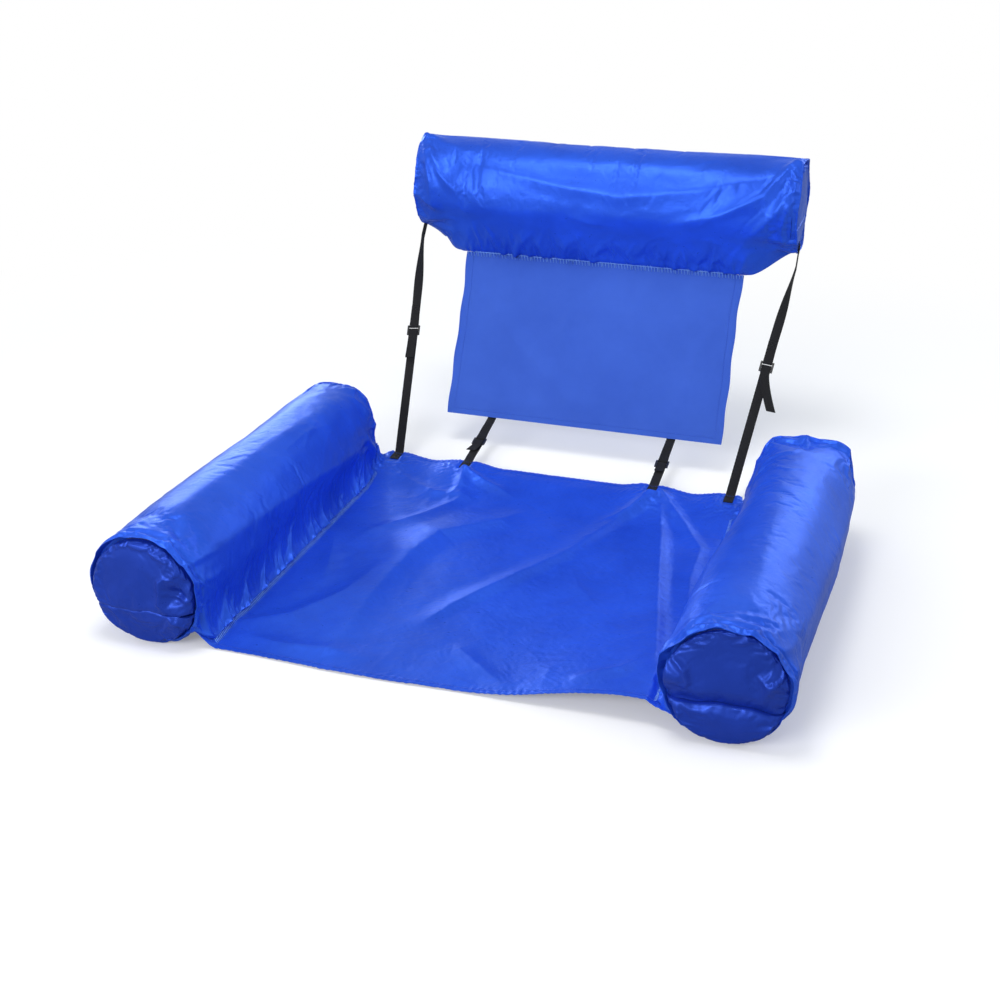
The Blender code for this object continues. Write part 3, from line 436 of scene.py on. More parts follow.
def settle(cloths, frames=20):
    """Simulates all the cloths side by side and gives their settled grids by name."""
    for name, cloth in cloths.items():
        cloth.begin("settling_" + name, frames)
    for frame_number in range(1, frames + 1):
        bpy.context.scene.frame_set(frame_number)
    graph = bpy.context.evaluated_depsgraph_get()
    done = {name: cloth.end(graph) for name, cloth in cloths.items()}
    for cloth in cloths.values():
        data = cloth.object.data
        bpy.data.objects.remove(cloth.object)
        bpy.data.meshes.remove(data)
    bpy.context.scene.frame_set(1)
    return done


# Materials

def fill_in(tree, n, inputs):
    """Links or sets a node's inputs."""
    for key, value in inputs.items():
        if isinstance(value, bpy.types.NodeSocket):
            tree.links.new(value, n.inputs[key])
        else:
            n.inputs[key].default_value = value


def maker(tree):
    """A function that adds a node to the tree."""
    def node(kind, inputs=None, **settings):
        n = tree.nodes.new(kind)
        for key, value in settings.items():
            setattr(n, key, value)
        fill_in(tree, n, inputs or {})
        return n
    return node


def nodes_of(name):
    made = bpy.data.materials.new(name)
    made.use_nodes = True
    tree = made.node_tree
    return made, tree, tree.nodes["Principled BSDF"], maker(tree)


def bump(node, height, distance, under=None, strength=1.0, **settings):
    inputs = {"Height": height, "Distance": distance, "Strength": strength}
    if under:
        inputs["Normal"] = under
    return node("ShaderNodeBump", inputs, **settings).outputs["Normal"]


def spread(node, value, old, new, **settings):
    """The value's range old stretched to the range new."""
    inputs = dict(zip(("Value", "From Min", "From Max", "To Min", "To Max"), (value, *old, *new)))
    return node("ShaderNodeMapRange", inputs, **settings).outputs["Result"]


def clouds(node, where, scale, detail, rough=0.5, distortion=0.0):
    inputs = {"Vector": where, "Scale": scale, "Detail": detail, "Roughness": rough,
              "Distortion": distortion}
    return node("ShaderNodeTexNoise", inputs).outputs["Fac"]


def waves(node, where, way, scale, distortion, detail=2.0):
    inputs = {"Vector": where, "Scale": scale, "Distortion": distortion, "Detail": detail}
    return node("ShaderNodeTexWave", inputs, bands_direction=way).outputs["Fac"]


def maths(node, operation, one, two):
    return node("ShaderNodeMath", {0: one, 1: two}, operation=operation).outputs["Value"]


def ramp(node, value, stops):
    """A colour between two stops of (place, colour)."""
    r = node("ShaderNodeValToRGB", {"Fac": value})
    for e, (place, colour) in zip(r.color_ramp.elements, stops):
        e.position, e.color = place, (*colour, 1)
    return r.outputs["Color"]


def cloth_material(name, dark, light, rough, weave=0.0008, weave_depth=0.00005, crinkle=0.0010,
                   crinkle_scale=26, sheen=0.0, specular=0.6, metallic=0.0):
    """Woven cloth: threads from the UV map, crinkles and uneven dye from the piece's own metres."""
    made, tree, shader, node = nodes_of(name)
    coord = node("ShaderNodeTexCoord")
    here, flat = coord.outputs["Object"], coord.outputs["UV"]
    patch = clouds(node, here, 6.0, 6.0, 0.62)
    crest = clouds(node, here, crinkle_scale, 5.0, 0.5, 0.9)
    fine = clouds(node, here, crinkle_scale * 6, 4.0, 0.55, 0.8)
    warp, weft = (waves(node, flat, way, 0.3183 / weave, 0.3) for way in "XY")
    normal = bump(node, fine, crinkle * 0.15, bump(node, crest, crinkle))
    fill_in(tree, shader, {
        "Base Color": ramp(node, patch, [(0.32, dark), (0.70, light)]),
        "Roughness": spread(node, fine, (0.25, 0.75), (rough - 0.05, rough + 0.08)),
        "Normal": bump(node, maths(node, "MULTIPLY", warp, weft), weave_depth, normal),
        "Metallic": metallic, "Specular IOR Level": specular, "Specular Tint": (0.35, 0.62, 1.0, 1),
        "Sheen Weight": sheen, "Sheen Roughness": 0.5})
    return made


def plain_material(name, colour, rough, scale=90.0, depth=0.00006, vary=0.25, coat=0.0):
    """Moulded plastic or thread: fine uneven grain, with slightly worn, lighter patches."""
    made, tree, shader, node = nodes_of(name)
    here = node("ShaderNodeTexCoord").outputs["Object"]
    grain = clouds(node, here, scale * 6, 4.0)
    worn = clouds(node, here, scale * 0.4, 5.0, 0.7)
    low = tuple(c * (1 - vary) for c in colour)
    high = tuple(min(1.0, c * (1 + vary) + 0.01 * vary) for c in colour)
    fill_in(tree, shader, {
        "Base Color": ramp(node, worn, [(0.35, low), (0.68, high)]),
        "Roughness": spread(node, worn, (0.3, 0.7), (rough - 0.06, rough + 0.08)),
        "Normal": bump(node, grain, depth), "Coat Weight": coat})
    return made


def webbing_material():
    """Woven strap: ribs across it, cords along it and slightly furred edges."""
    made, tree, shader, node = nodes_of("webbing")
    coord = node("ShaderNodeTexCoord")
    flat, here = coord.outputs["UV"], coord.outputs["Object"]
    split = node("ShaderNodeSeparateXYZ", {"Vector": flat})
    ribs, cords = waves(node, flat, "Y", 210.0, 0.6, 1.0), waves(node, flat, "X", 130.0, 0.2)
    fuzz = clouds(node, here, 700.0, 3.0)
    dark, light = (0.006, 0.006, 0.007), (0.022, 0.022, 0.024)
    normal = bump(node, maths(node, "ADD", ribs, cords), 0.00025)
    fill_in(tree, shader, {
        "Base Color": ramp(node, fuzz, [(0.3, dark), (0.75, light)]),
        "Roughness": spread(node, split.outputs["X"], (0.0, 0.02), (0.62, 0.78)),
        "Normal": bump(node, fuzz, 0.00015, normal, 0.8),
        "Specular IOR Level": 0.18, "Sheen Weight": 0.02})
    return made


def pile_material(name, colour, scale, depth):
    """Hook or loop tape: dense rows of tiny hooks, or a matted pile."""
    made, tree, shader, node = nodes_of(name)
    here = node("ShaderNodeTexCoord").outputs["Object"]
    pile = node("ShaderNodeTexVoronoi", {"Vector": here, "Scale": scale, "Randomness": 0.7})
    # Painted shade and light: the pile's roots between the hooks are painted darker and its raised
    # tips lighter
    tip, shaded_root = tuple(c * 1.6 for c in colour), tuple(c * 0.5 for c in colour)
    fill_in(tree, shader, {
        "Base Color": ramp(node, pile.outputs["Distance"], [(0.1, tip), (0.7, shaded_root)]),
        "Normal": bump(node, pile.outputs["Distance"], depth, invert=True),
        "Roughness": 0.85, "Sheen Weight": 0.4})
    return made


NYLON = cloth_material("coated_nylon", (0.018, 0.082, 0.62), (0.028, 0.122, 0.82), 0.31,
                       specular=0.45, metallic=0.32)
# A darker copy of the coated nylon for the bolsters' end cloths: painted shade, the same nylon
# darkened to stand in for the shade on the recessed ends
NYLON_END_SHADED = cloth_material("coated_nylon_end_shaded", (0.010, 0.036, 0.34), (0.016, 0.052, 0.46), 0.31,
                           specular=0.5, metallic=0.35, crinkle=0.0006)
PANEL = cloth_material("panel_polyester", (0.036, 0.098, 0.50), (0.046, 0.120, 0.57), 0.66,
                       weave=0.0011, weave_depth=0.00012, crinkle=0.0004, crinkle_scale=12,
                       sheen=0.15, specular=0.35)
WEBBING = webbing_material()
ACETAL = plain_material("acetal_black", (0.012, 0.012, 0.013), 0.34, coat=0.15)
THREAD = plain_material("thread_blue", (0.030, 0.110, 0.62), 0.55, scale=300)
THREAD_PALE = plain_material("thread_pale", (0.20, 0.42, 1.0), 0.55, scale=300)
THREAD_BLACK = plain_material("thread_black", (0.020, 0.020, 0.022), 0.6, scale=300)
VINYL = plain_material("bladder_pvc", (0.50, 0.60, 0.70), 0.16, scale=20, depth=0.0004, vary=0.08,
                       coat=0.5)
VALVE = plain_material("valve_plastic", (0.60, 0.65, 0.70), 0.38, scale=60, vary=0.06)
HOOK = pile_material("hook_tape", (0.020, 0.050, 0.26), 900, 0.0006)
LOOP = pile_material("loop_tape", (0.022, 0.055, 0.28), 1400, 0.0005)


# The ends of the bolsters

class End:
    """One end of a bolster: its middle, and its directions sideways, up and outwards."""

    def __init__(self, middle, side, up, out):
        self.middle, self.side = np.array(middle, float), np.array(side, float)
        self.up, self.out = np.array(up, float), np.array(out, float)

    def at(self, side, up, out):
        side, up, out = np.broadcast_arrays(side, up, out)
        return (self.middle + side[..., None] * self.side + up[..., None] * self.up
                + out[..., None] * self.out)


def sleeve(name, end, outer, turn, lip_radius):
    """Closes a bolster's outer cloth, rows from its rear hem to its mouth, into a skin with a
    hem, the facing behind the flap and an inner wall."""
    out = normals(outer, wrap=True)
    centre = outer.mean(1, keepdims=True)
    if ((outer - centre) * out).sum() < 0:
        out = -out
    mouth = outer[-1]
    forward = end.out * CLOTH
    rolled = [mouth + forward - out[-1] * 0.0002, mouth + forward * 1.5 - out[-1] * CLOTH * 0.9,
              mouth - out[-1] * CLOTH * 1.7]

    def ring(radius, depth):
        return end.at(radius * np.cos(turn), radius * np.sin(turn), -depth)

    inside = outer - out * CLOTH
    back = [r for r in inside[::-1][::4]
            if ((r - end.middle) @ end.out).mean() < -LIP_DEPTH - 0.006]
    rows = list(outer) + rolled
    rows += [ring(lip_radius + LIP_WIDTH, LIP_DEPTH),
             ring(lip_radius + LIP_WIDTH / 2, LIP_DEPTH - 0.0003),
             ring(lip_radius, LIP_DEPTH), ring(lip_radius, LIP_DEPTH + CLOTH),
             ring(lip_radius + LIP_WIDTH, LIP_DEPTH + CLOTH)] + back
    return skin(name, np.array(rows), NYLON, wrap=True, ring=True)


def disc_grid(radius, low, high, rows, cols):
    """(side, up) of a piece of a disc between two rim angles, as rows of even steps."""
    turn = np.linspace(low, high, rows)[:, None]
    across = np.sin(pi / 2 * np.linspace(-1, 1, cols))[None, :]
    return radius * np.cos(turn) * across, radius * np.sin(turn) * np.ones_like(across)


# How far up an opening its flap's crease lies, as a share of the opening's height
CREASE_AT = 0.33


class EndCloth:
    """The flap over the top of an opening, or the sewn cloth below it: a flat lining, and an
    outer face that swells."""

    def __init__(self, name, end, mouth, dome, puff, folds, low=False):
        self.name, self.end, self.low = name, end, low
        line_up = mouth * (2 * CREASE_AT - 1)
        radius = mouth - (GAP if low else 0.005)
        if low:
            rim_at = np.arcsin((line_up - 0.0005) / radius)
            side, up = disc_grid(radius, -pi / 2 + 0.06, rim_at, 48, 104)
            drop = ((up + radius) / (line_up + radius)) ** 4
        else:
            rim_at = np.arcsin((line_up + 0.0006) / radius)
            side, up = disc_grid(radius, rim_at, pi / 2 - 0.06, 76, 110)
            drop = ((radius - up) / (radius - line_up)) ** 4
        sway = folds["sway"](side)
        up = up + sway * bell((up - line_up) / 0.018) * smooth((radius - np.abs(side)) / 0.03)
        line_up = line_up + sway
        far = np.hypot(side, up)
        border = radius if low else radius - TAPE_WIDTH
        lining = dome * np.clip(1 - (far / border) ** 2, 0, 1) ** (1.0 if low else 0.6) * (1 - drop)
        rim = np.clip(1 - (far / radius) ** 7, 0, 1) ** 0.5
        valley, depth = folds["valley"]
        hinge = 1 - depth * bell((up - line_up) / valley)
        shape = (puff * rim + 0.3 * dome * np.clip(1 - (far / radius) ** 2, 0, 1)) * hinge
        for line, width, tall in folds["low" if low else "lines"]:
            shape = shape + crease(side, up, line, width, tall) * rim * hinge
        shape = shape + bumps(side, up, folds["bumps"]) * rim * hinge
        self.lining = lining - RECESS
        self.below = end.at(side, up, self.lining)
        turn = np.degrees(np.arctan2(up, side)) % 360
        over = sum(h * np.exp(-(((turn - a + 180) % 360 - 180) / w) ** 4)
                   for a, w, h in folds["over"])
        grow = 1 + over * bell((far / radius - 0.90) / 0.075) / np.maximum(far, 0.02)
        out = self.lining + CLOTH + np.maximum(shape - lining, 0)
        self.start = end.at(side * grow, up * grow, out)
        self.rim, self.hinge = radius - far, np.abs(up - line_up)

    def cloth(self):
        sewn = (np.minimum(self.rim, self.hinge) < 0.0008).astype(float)
        extra = 0.05 * bell(self.rim / 0.012) + 0.008
        inside = self.end.middle - self.end.out * 0.5
        return Cloth(self.start, 44, 64, False, sewn, extra, inside, 1.5, 0.006)

    def build(self, settled, finish):
        rel = settled - self.end.middle
        out = np.maximum(rel @ self.end.out, self.lining + CLOTH)
        top = self.end.at(rel @ self.end.side, rel @ self.end.up, out)
        below = self.below
        if np.cross(self.end.side, self.end.up) @ self.end.out < 0:
            top, below = top[:, ::-1], below[:, ::-1]
        return cloth_sheet(self.name, top, CLOTH, finish, below)


# Arm bolsters

# Folds: a line of (degrees round the arm, place along it, share of the height), width, height
ARM_FOLDS = {
    "left": (
        ([(-3, 0.3, 0.4), (5, 0.15, 1), (13, 0.015, 1), (22, -0.137, 1), (28, -0.27, 0.9),
          (39, -0.35, 0.4)], 0.014, 0.0052),
        ([(66, 0.33, 0.3), (72, 0.1, 0.8), (80, -0.1, 0.8), (88, -0.3, 0.4)], 0.016, 0.003),
        ([(12, -0.01, 0.2), (2, 0.01, 1), (-15, 0.02, 0.9), (-38, 0.0, 0.6)], 0.0045, 0.003),
        ([(46, 0.22, 0.0), (58, 0.13, 1), (57, 0.04, 0.3)], 0.005, 0.0022),
        ([(60, 0.18, 0.6), (52, 0.12, 0.8), (42, 0.08, 0.0)], 0.005, 0.002),
        ([(35, -0.386, 1), (30, -0.33, 0.6), (24, -0.28, 0.0)], 0.005, 0.0038),
        ([(60, -0.386, 1), (52, -0.33, 0.6), (50, -0.28, 0.0)], 0.004, 0.0032),
        ([(14, -0.386, 1), (8, -0.34, 0.6), (4, -0.29, 0.0)], 0.005, 0.0036),
        ([(110, -0.386, 0.8), (104, -0.34, 0.5), (100, -0.3, 0.0)], 0.005, 0.0028),
        ([(-30, 0.385, 1), (-5, 0.355, 0.8), (22, 0.32, 0.2)], 0.007, 0.006),
        ([(-22, 0.38, 1), (0, 0.34, 0.8), (10, 0.29, 0.0)], 0.006, 0.005),
        ([(10, 0.385, 1), (32, 0.36, 0.8), (62, 0.335, 0.1)], 0.007, 0.0045),
        ([(40, 0.385, 0.8), (60, 0.37, 0.7), (82, 0.362, 0.1)], 0.006, 0.0034),
        ([(150, 0.25, 0.2), (165, 0.05, 1), (158, -0.18, 0.8), (150, -0.33, 0.2)], 0.014, 0.004),
        ([(205, 0.33, 0.4), (196, 0.12, 1), (205, -0.1, 0.9), (222, -0.3, 0.3)], 0.012, 0.0036),
    ),
    "right": (
        ([(172, 0.38, 0.5), (165, 0.1, 1), (159, -0.11, 1), (155, -0.3, 0.7)], 0.015, 0.0048),
        ([(70, 0.33, 0.2), (86, 0.072, 1), (96, -0.163, 1), (103, -0.296, 0.5)], 0.018, 0.0026),
        ([(26, 0.22, 0.4), (50, 0.285, 1), (80, 0.3, 0.6), (100, 0.35, 0.0)], 0.005, 0.0034),
        ([(16, 0.29, 0.8), (45, 0.345, 0.9), (75, 0.38, 0.2)], 0.006, 0.0036),
        ([(60, 0.25, 0.2), (82, 0.215, 0.9), (108, 0.235, 0.1)], 0.005, 0.0022),
        ([(40, -0.372, 0.4), (66, -0.36, 1), (93, -0.345, 1), (125, -0.327, 0.6),
          (140, -0.3, 0.0)], 0.006, 0.0046),
        ([(50, -0.386, 1), (78, -0.372, 0.8), (104, -0.362, 0.0)], 0.004, 0.0032),
        ([(108, -0.388, 1), (124, -0.36, 0.8), (140, -0.31, 0.0)], 0.005, 0.0038),
        ([(134, -0.388, 1), (146, -0.35, 0.7), (150, -0.3, 0.0)], 0.005, 0.0034),
        ([(160, -0.386, 1), (166, -0.33, 0.6), (170, -0.27, 0.0)], 0.007, 0.0036),
        ([(20, -0.386, 1), (26, -0.34, 0.8), (40, -0.28, 0.0)], 0.005, 0.003),
        ([(-30, 0.385, 1), (-5, 0.35, 0.8), (15, 0.3, 0.2)], 0.007, 0.005),
        ([(200, 0.3, 0.4), (192, 0.05, 1), (204, -0.2, 0.6)], 0.013, 0.0036),
    ),
}
# Rows of angle, place along the arm, their two widths and the height
ARM_SWELLS = {
    "left": ((250, 0.36, 26, 0.07, 0.0030), (150, -0.405, 60, 0.06, 0.0040)),
    "right": ((10, -0.405, 26, 0.050, 0.0110), (70, -0.400, 40, 0.050, 0.0030),
              (18, 0.200, 36, 0.24, -0.0150), (126, 0.375, 20, 0.055, 0.0120),
              (62, 0.385, 20, 0.050, 0.0050)),
}


def arm_outer(side, sign, seed):
    """The arm's outer cloth, rows from its rear hem to its mouth."""
    rows, cols = 300, 216
    s = np.linspace(0, 1, rows)[:, None]
    turn = angles(cols, SEAM)
    back = s * 2 * ARM_HALF
    front = (1 - s) * 2 * ARM_HALF
    along = ARM_HALF - back + 0 * turn
    off = np.abs(angle_off(turn, SEAM))
    free = smooth((off - 0.06) / 0.4)
    near = smooth(np.minimum(back, front) / 0.105)
    arc = ARM_R * (turn - SEAM)
    wrap = 2 * pi * ARM_R
    low_arc = wrap - arc
    edge = smooth(np.minimum(arc, low_arc) / 0.004)
    square = (np.abs(np.cos(turn)) ** 2.7 + np.abs(np.sin(turn)) ** 2.7) ** (-1 / 2.7) - 1
    radius = ARM_R - ARM_DRAW * (1 - near) * free
    radius = radius - 0.0005 * (1 + layers(turn * 1.6, s * 5, seed)) * free
    corner = ARM_R * square * smooth(1 - back / 0.20) * free
    radius = radius + (corner if side == "right" else corner * smooth(np.cos(turn) + 0.6))
    radius = radius + pleats(along, arc, seed, 0.0085, 0.0052, 0.036) * edge
    ends = smooth(back / 0.005) * free
    radius = radius + pleats(arc, back, seed + 3, 0.011, 0.0018, 0.040) * ends
    fold = puckers(arc, back, seed + 4, (0, wrap), 9, 0.008, 0.0024, 0.11, 0.5, wrap)
    radius = radius + fold * ends
    fold = puckers(arc, front, seed + 6, (0, wrap), 8, 0.008, 0.0022, 0.08, 0.8, wrap)
    radius = radius + fold * free
    hem = smooth(1 - front / 0.012)
    waver = 0.0010 * np.sin(turn * 7 + seed) + 0.0006 * np.sin(turn * 13 + 2)
    radius = radius + waver * hem * free
    radius = radius - 0.0020 * bell((front - 0.017) / 0.008) * free
    x = sign * ARM_X - sign * radius * np.cos(turn)
    z = ARM_Z + radius * np.sin(turn)
    hood = (0.0075 if side == "right" else 0.003) * smooth(np.sin(turn) * 1.2)
    hood = hood + 0.0009 * np.sin(turn * 5 + seed)
    y = along - hood * smooth(1 - front / 0.05)
    return np.stack([x, y, z], axis=-1)


def seam_folds(y, away, seed):
    """The folds that an arm's seam draws into the cloth: pointed, uneven and leaning one way."""
    rng = np.random.default_rng(seed + 61)
    total = 0
    for k in range(52):
        place = 0.38 * rng.uniform(-1, 1)
        size, lean = rng.uniform(0, 1) ** 1.9, rng.uniform(-0.1, 0.9)
        far, tall, wide = 0.016 + 0.080 * size, 0.0026 + 0.0110 * size, 0.0060 + 0.0150 * size
        off = (y - place - lean * away) / (wide * np.clip(1 - 0.8 * away / far, 0.15, 1))
        total = np.maximum(total, tall * peak(off, 1) * np.clip(1 - away / far, 0, 1) ** 1.2)
    small = puckers(y, away, seed + 62, (-0.38, 0.38), 70, 0.0020, 0.0012, 0.014, 0.5, fan=-0.6)
    return (total + small) * smooth(away / 0.004) * (0.25 + 0.75 * smooth((0.37 - y) / 0.09))


def dress_arm(grid, side, sign, seed, ground):
    """The settled cover with its long folds and its rear end drawn aside. Beside the seat its
    cloth runs straight down from the tube to the seam's foot, and back under the tube. Gives
    the cover and its columns' angles."""
    wide = 4 * grid.shape[1]
    fine = wide // 12
    pick = np.r_[0:fine, fine:wide:4]
    grid = resample(grid, 420, wide, True)[:, pick]
    turn = (SEAM + 2 * pi * pick / wide)[None, :]
    along = np.linspace(ARM_HALF, -ARM_HALF, len(grid))[:, None] + 0 * turn
    off = np.abs(angle_off(turn, SEAM))
    free = smooth((off - 0.06) / 0.4)
    wall = 0.076
    up = ARM_R * (turn - SEAM) + wall - ARM_R * pi / 6 + 0 * along
    high = seam_folds(along, np.maximum(up, 0), seed) * smooth((turn - SEAM - 0.45) / 0.15)
    for line, width, tall in ARM_FOLDS[side]:
        placed = [(ARM_R * radians(a), b, h) for a, b, h in line]
        high = high + crease(ARM_R * turn, along, placed, width, tall) * free
    for a, b, far, long, tall in ARM_SWELLS[side]:
        round_off = np.degrees(angle_off(turn, radians(a)))
        high = high + tall * bell(round_off / far, (along - b) / long) * free
    spin = turn + 0 * along
    out = np.stack([-sign * np.cos(spin), 0 * spin, np.sin(spin)], axis=-1)
    aside = smooth((along + 0.34) / 0.62) * smooth((off - 1.3 * (side == "left")) / 0.9)
    grid = grid + out * high[..., None] + aside[..., None] * np.array((REAR_SHIFT[side], 0, 0))
    # The wall, from the seam under the tube to the foot, and from the foot up to the tube
    top, seam, y = grid[:, fine], grid[:, 0], grid[:, fine, 1]
    foot = np.stack([sign * FOOT_X + 0.0006 * np.sin(y * 90 + seed), y, 0 * y], axis=-1)
    foot[:, 2] = ground(foot[:, :1], y)[:, 0] + 0.0016
    rise = grid[:, fine + 1] - top
    rise = 0.075 * rise / np.linalg.norm(rise, axis=1, keepdims=True)
    leave = np.array((sign * 0.034, 0, 0.030))
    under = fine // 6
    t = np.linspace(0, 1, fine - under + 1)[None, :-1, None]
    rest = (2 * t ** 3 - 3 * t ** 2 + 1) * foot[:, None] + (t ** 3 - 2 * t ** 2 + t) * leave
    rest = rest + (3 * t ** 2 - 2 * t ** 3) * top[:, None] + (t ** 3 - t ** 2) * rise[:, None]
    climb = t[..., 0] * wall
    folds = seam_folds(y[:, None], climb, seed) * (1 - smooth((climb - wall + 0.012) / 0.012))
    rest[..., 0] -= sign * folds * 0.85
    rest[..., 2] += folds * 0.5
    t = np.linspace(0, 1, under + 1)[None, :-1, None]
    back = seam[:, None] * (1 - t) + foot[:, None] * t
    back[..., 2] = np.minimum(back[..., 2], seam[:, None, 2])
    back[..., 2] = np.maximum(ground(back[..., 0], y) + 0.0014, back[..., 2])
    shaped = np.concatenate([back, rest], axis=1)
    held = smooth((ARM_HALF - np.abs(y)) / 0.034)[:, None, None]
    grid[:, :fine] = grid[:, :fine] * (1 - held) + shaped * held
    return grid, turn[0]


def arm_cloth(side, sign, start):
    rows, cols = start.shape[:2]
    turn = angles(cols)
    back = np.linspace(0, 2 * ARM_HALF, rows)[:, None] + 0 * turn
    front = 2 * ARM_HALF - back
    seam = ARM_R * np.minimum(turn, 2 * pi - turn) + 0 * back
    sewn = (np.minimum(np.minimum(seam, back), front) < 0.001).astype(float)
    extra = 0.12 * bell(seam / 0.034) + 0.07 * bell(back / 0.030)
    extra = extra + (0.08 if side == "right" else 0.05) * bell(front / 0.030) + 0.016
    extra = extra * (1 + 0.5 * layers(seam * 12, back * 9, 71))
    return Cloth(start, 190, 150, True, sewn, extra, (sign * ARM_X, 0, ARM_Z), 2.6, 0.010)


def crumpled(grid, seed, floor=None, share=1.0):
    """Small crumples laid on a bolster's settled cloth, where it isn't sewn down."""
    rows, cols = grid.shape[:2]
    length, girth = 0.80, 0.65
    along = np.linspace(0, 1, rows)[:, None] * length
    round_it = np.linspace(0, 1, cols)[None, :] * girth
    patch = smooth(layers(round_it * 7, along * 5, seed + 8) + 0.3)
    high = 0.0011 * share * crumple(round_it * 15 + seed, along * 10 + 7, seed + 7) * patch
    high = high + 0.0004 * layers(round_it * 40, along * 30 + 20, seed + 12)
    high = high * smooth(along / 0.01) * smooth((length - along) / 0.01)
    high = high * smooth(np.minimum(round_it, girth - round_it) / 0.01)
    out = normals(grid, wrap=True)
    if (out * (grid - grid.mean((0, 1)))).sum() < 0:
        out = -out
    grid = grid + out * high[..., None]
    if floor is not None:
        grid[:, :, 2] = np.maximum(grid[:, :, 2], floor)
    return grid


def sewn_end(name, end, ring, dome, seed, gathered=True):
    """The sewn end inside a ring of points, gathered towards its middle or nearly flat."""
    share = np.sin(pi / 2 * np.linspace(0.03, 1, 44))[:, None]
    rel = ring - end.middle
    side, up = rel @ end.side, rel @ end.up
    base = rel @ end.out
    turn = np.unwrap(np.arctan2(up, side))[None, :]
    out = base * share + dome * np.clip(1 - share ** 4, 0, 1) ** 0.6
    if gathered:
        fold = pleats((turn - turn.min()) * 0.06, (1 - share) * 0.10, seed, 0.0075, 0.0085, 0.10)
        out = out + fold * smooth((1 - share) / 0.05) * smooth(share / 0.2)
        out = out - 0.006 * bell(share / 0.10)
    else:
        fold = layers(share * np.cos(turn) * 3 + 9, share * np.sin(turn) * 3 + 9, seed)
        out = out + 0.0022 * fold * smooth((1 - share) / 0.1)
        fold = pleats((turn - turn.min()) * 0.095, (1 - share) * 0.10, seed, 0.009, 0.0026, 0.03)
        out = out + fold * smooth((1 - share) / 0.03)
    face = end.at(side * share, up * share, out)
    behind = end.at(side * share, up * share, out - CLOTH)
    return skin(name, np.concatenate([face, behind[::-1]]), NYLON_END_SHADED,
                wrap=True, poles=True, edges_sharp=70)


def bladder(name, end, radius, rear, drift=0):
    """The air bladder: a welded vinyl tube with round ends, creased round the valve. It narrows
    behind the opening, and drifts sideways towards its rear."""
    turn = angles(96)
    collar, deep, quarter = 0.020, 0.045, [pi / 2 * k / 12 for k in range(13)]
    far, out = [0.008], [-VALVE_FACE]
    for t in quarter:
        far.append(collar + (radius - collar) * sin(t))
        out.append(-VALVE_FACE - deep * (1 - cos(t)))
    for k in range(1, 24):
        far.append(radius)
        out.append(-VALVE_FACE - deep + (rear + deep + VALVE_FACE + deep) * k / 24)
    for t in quarter:
        far.append(max(radius * cos(t), 0.0015))
        out.append(rear + deep * (1 - sin(t)))
    far, out = np.array(far)[:, None], np.array(out)[:, None]
    wrinkle = 0.0006 * np.sin(turn * 17 + 3 * np.sin(turn * 3)) * smooth((out + 0.10) / 0.03)
    wrinkle = wrinkle * smooth((far - collar) / 0.02)
    behind = smooth((-out - 0.09) / 0.25)
    far = (far - np.abs(wrinkle)) * (1 - 0.085 * behind)
    grid = end.at(far * np.cos(turn) + drift * behind, far * np.sin(turn), out)
    return skin(name, grid[::-1], VINYL, wrap=True, edges_sharp=0)


# An arm's end. lines and low: creases of the flap and of the cloth below it, as (side, up, share
# of the height), width, height. bumps: side, up, width, height. puff: how far each stands out.
# valley: the crease's width and depth. over: degrees, width, how far the cloth hangs over the rim.
CAP_FOLDS = {
    "left": {
        "dome": 0.016,
        "lines": (([(0.052, 0.042, 0.2), (0.041, 0.028, 0.8), (0.040, 0.005, 1),
                    (0.038, -0.014, 0.9), (0.046, -0.026, 0.3)], 0.0045, 0.0065),
                  ([(0.048, 0.006, 0.5), (0.066, 0.0, 1), (0.084, -0.005, 0.6)], 0.0035, 0.0065)),
        "bumps": ((0.066, 0.004, 0.018, -0.021), (0.082, 0.026, 0.012, -0.006)),
        "low": (([(0.050, -0.034, 0.6), (0.060, -0.046, 1), (0.076, -0.054, 0.6)],
                 0.0045, 0.0060),),
        "puff": (0.0230, 0.0225), "valley": (0.004, 0.10), "over": ((240, 92, 0.0085),),
        "sway": lambda side: 0.0022 * np.sin(side * 55 + 0.6) + 0.0010 * np.sin(side * 130)},
    "right": {
        "dome": 0.004,
        "lines": (([(0.080, 0.040, 0.6), (0.064, 0.022, 1), (0.058, 0.0, 0.6),
                    (0.062, -0.014, 0.1)], 0.004, 0.0080),
                  ([(-0.088, 0.034, 1), (-0.066, 0.016, 0.9), (-0.056, -0.014, 0.2)],
                   0.010, 0.0110),
                  ([(0.070, -0.020, 0.3), (0.030, -0.010, 0.8), (-0.030, -0.006, 0.7),
                    (-0.070, -0.014, 0.1)], 0.009, 0.0040)),
        "bumps": ((0.082, 0.010, 0.022, 0.017), (-0.074, 0.014, 0.018, 0.006),
                  (0.010, 0.045, 0.040, -0.005)),
        "low": (([(0.084, -0.034, 0.8), (0.050, -0.046, 0.8), (0.010, -0.048, 0.3)],
                 0.007, 0.0050),),
        "puff": (0.0110, 0.0220), "valley": (0.014, 0.60),
        "over": ((270, 62, 0.0070), (10, 30, 0.0100)),
        "sway": lambda side: 0.0030 * np.sin(side * 40 + 2.0) + 0.0012 * np.sin(side * 110)},
}


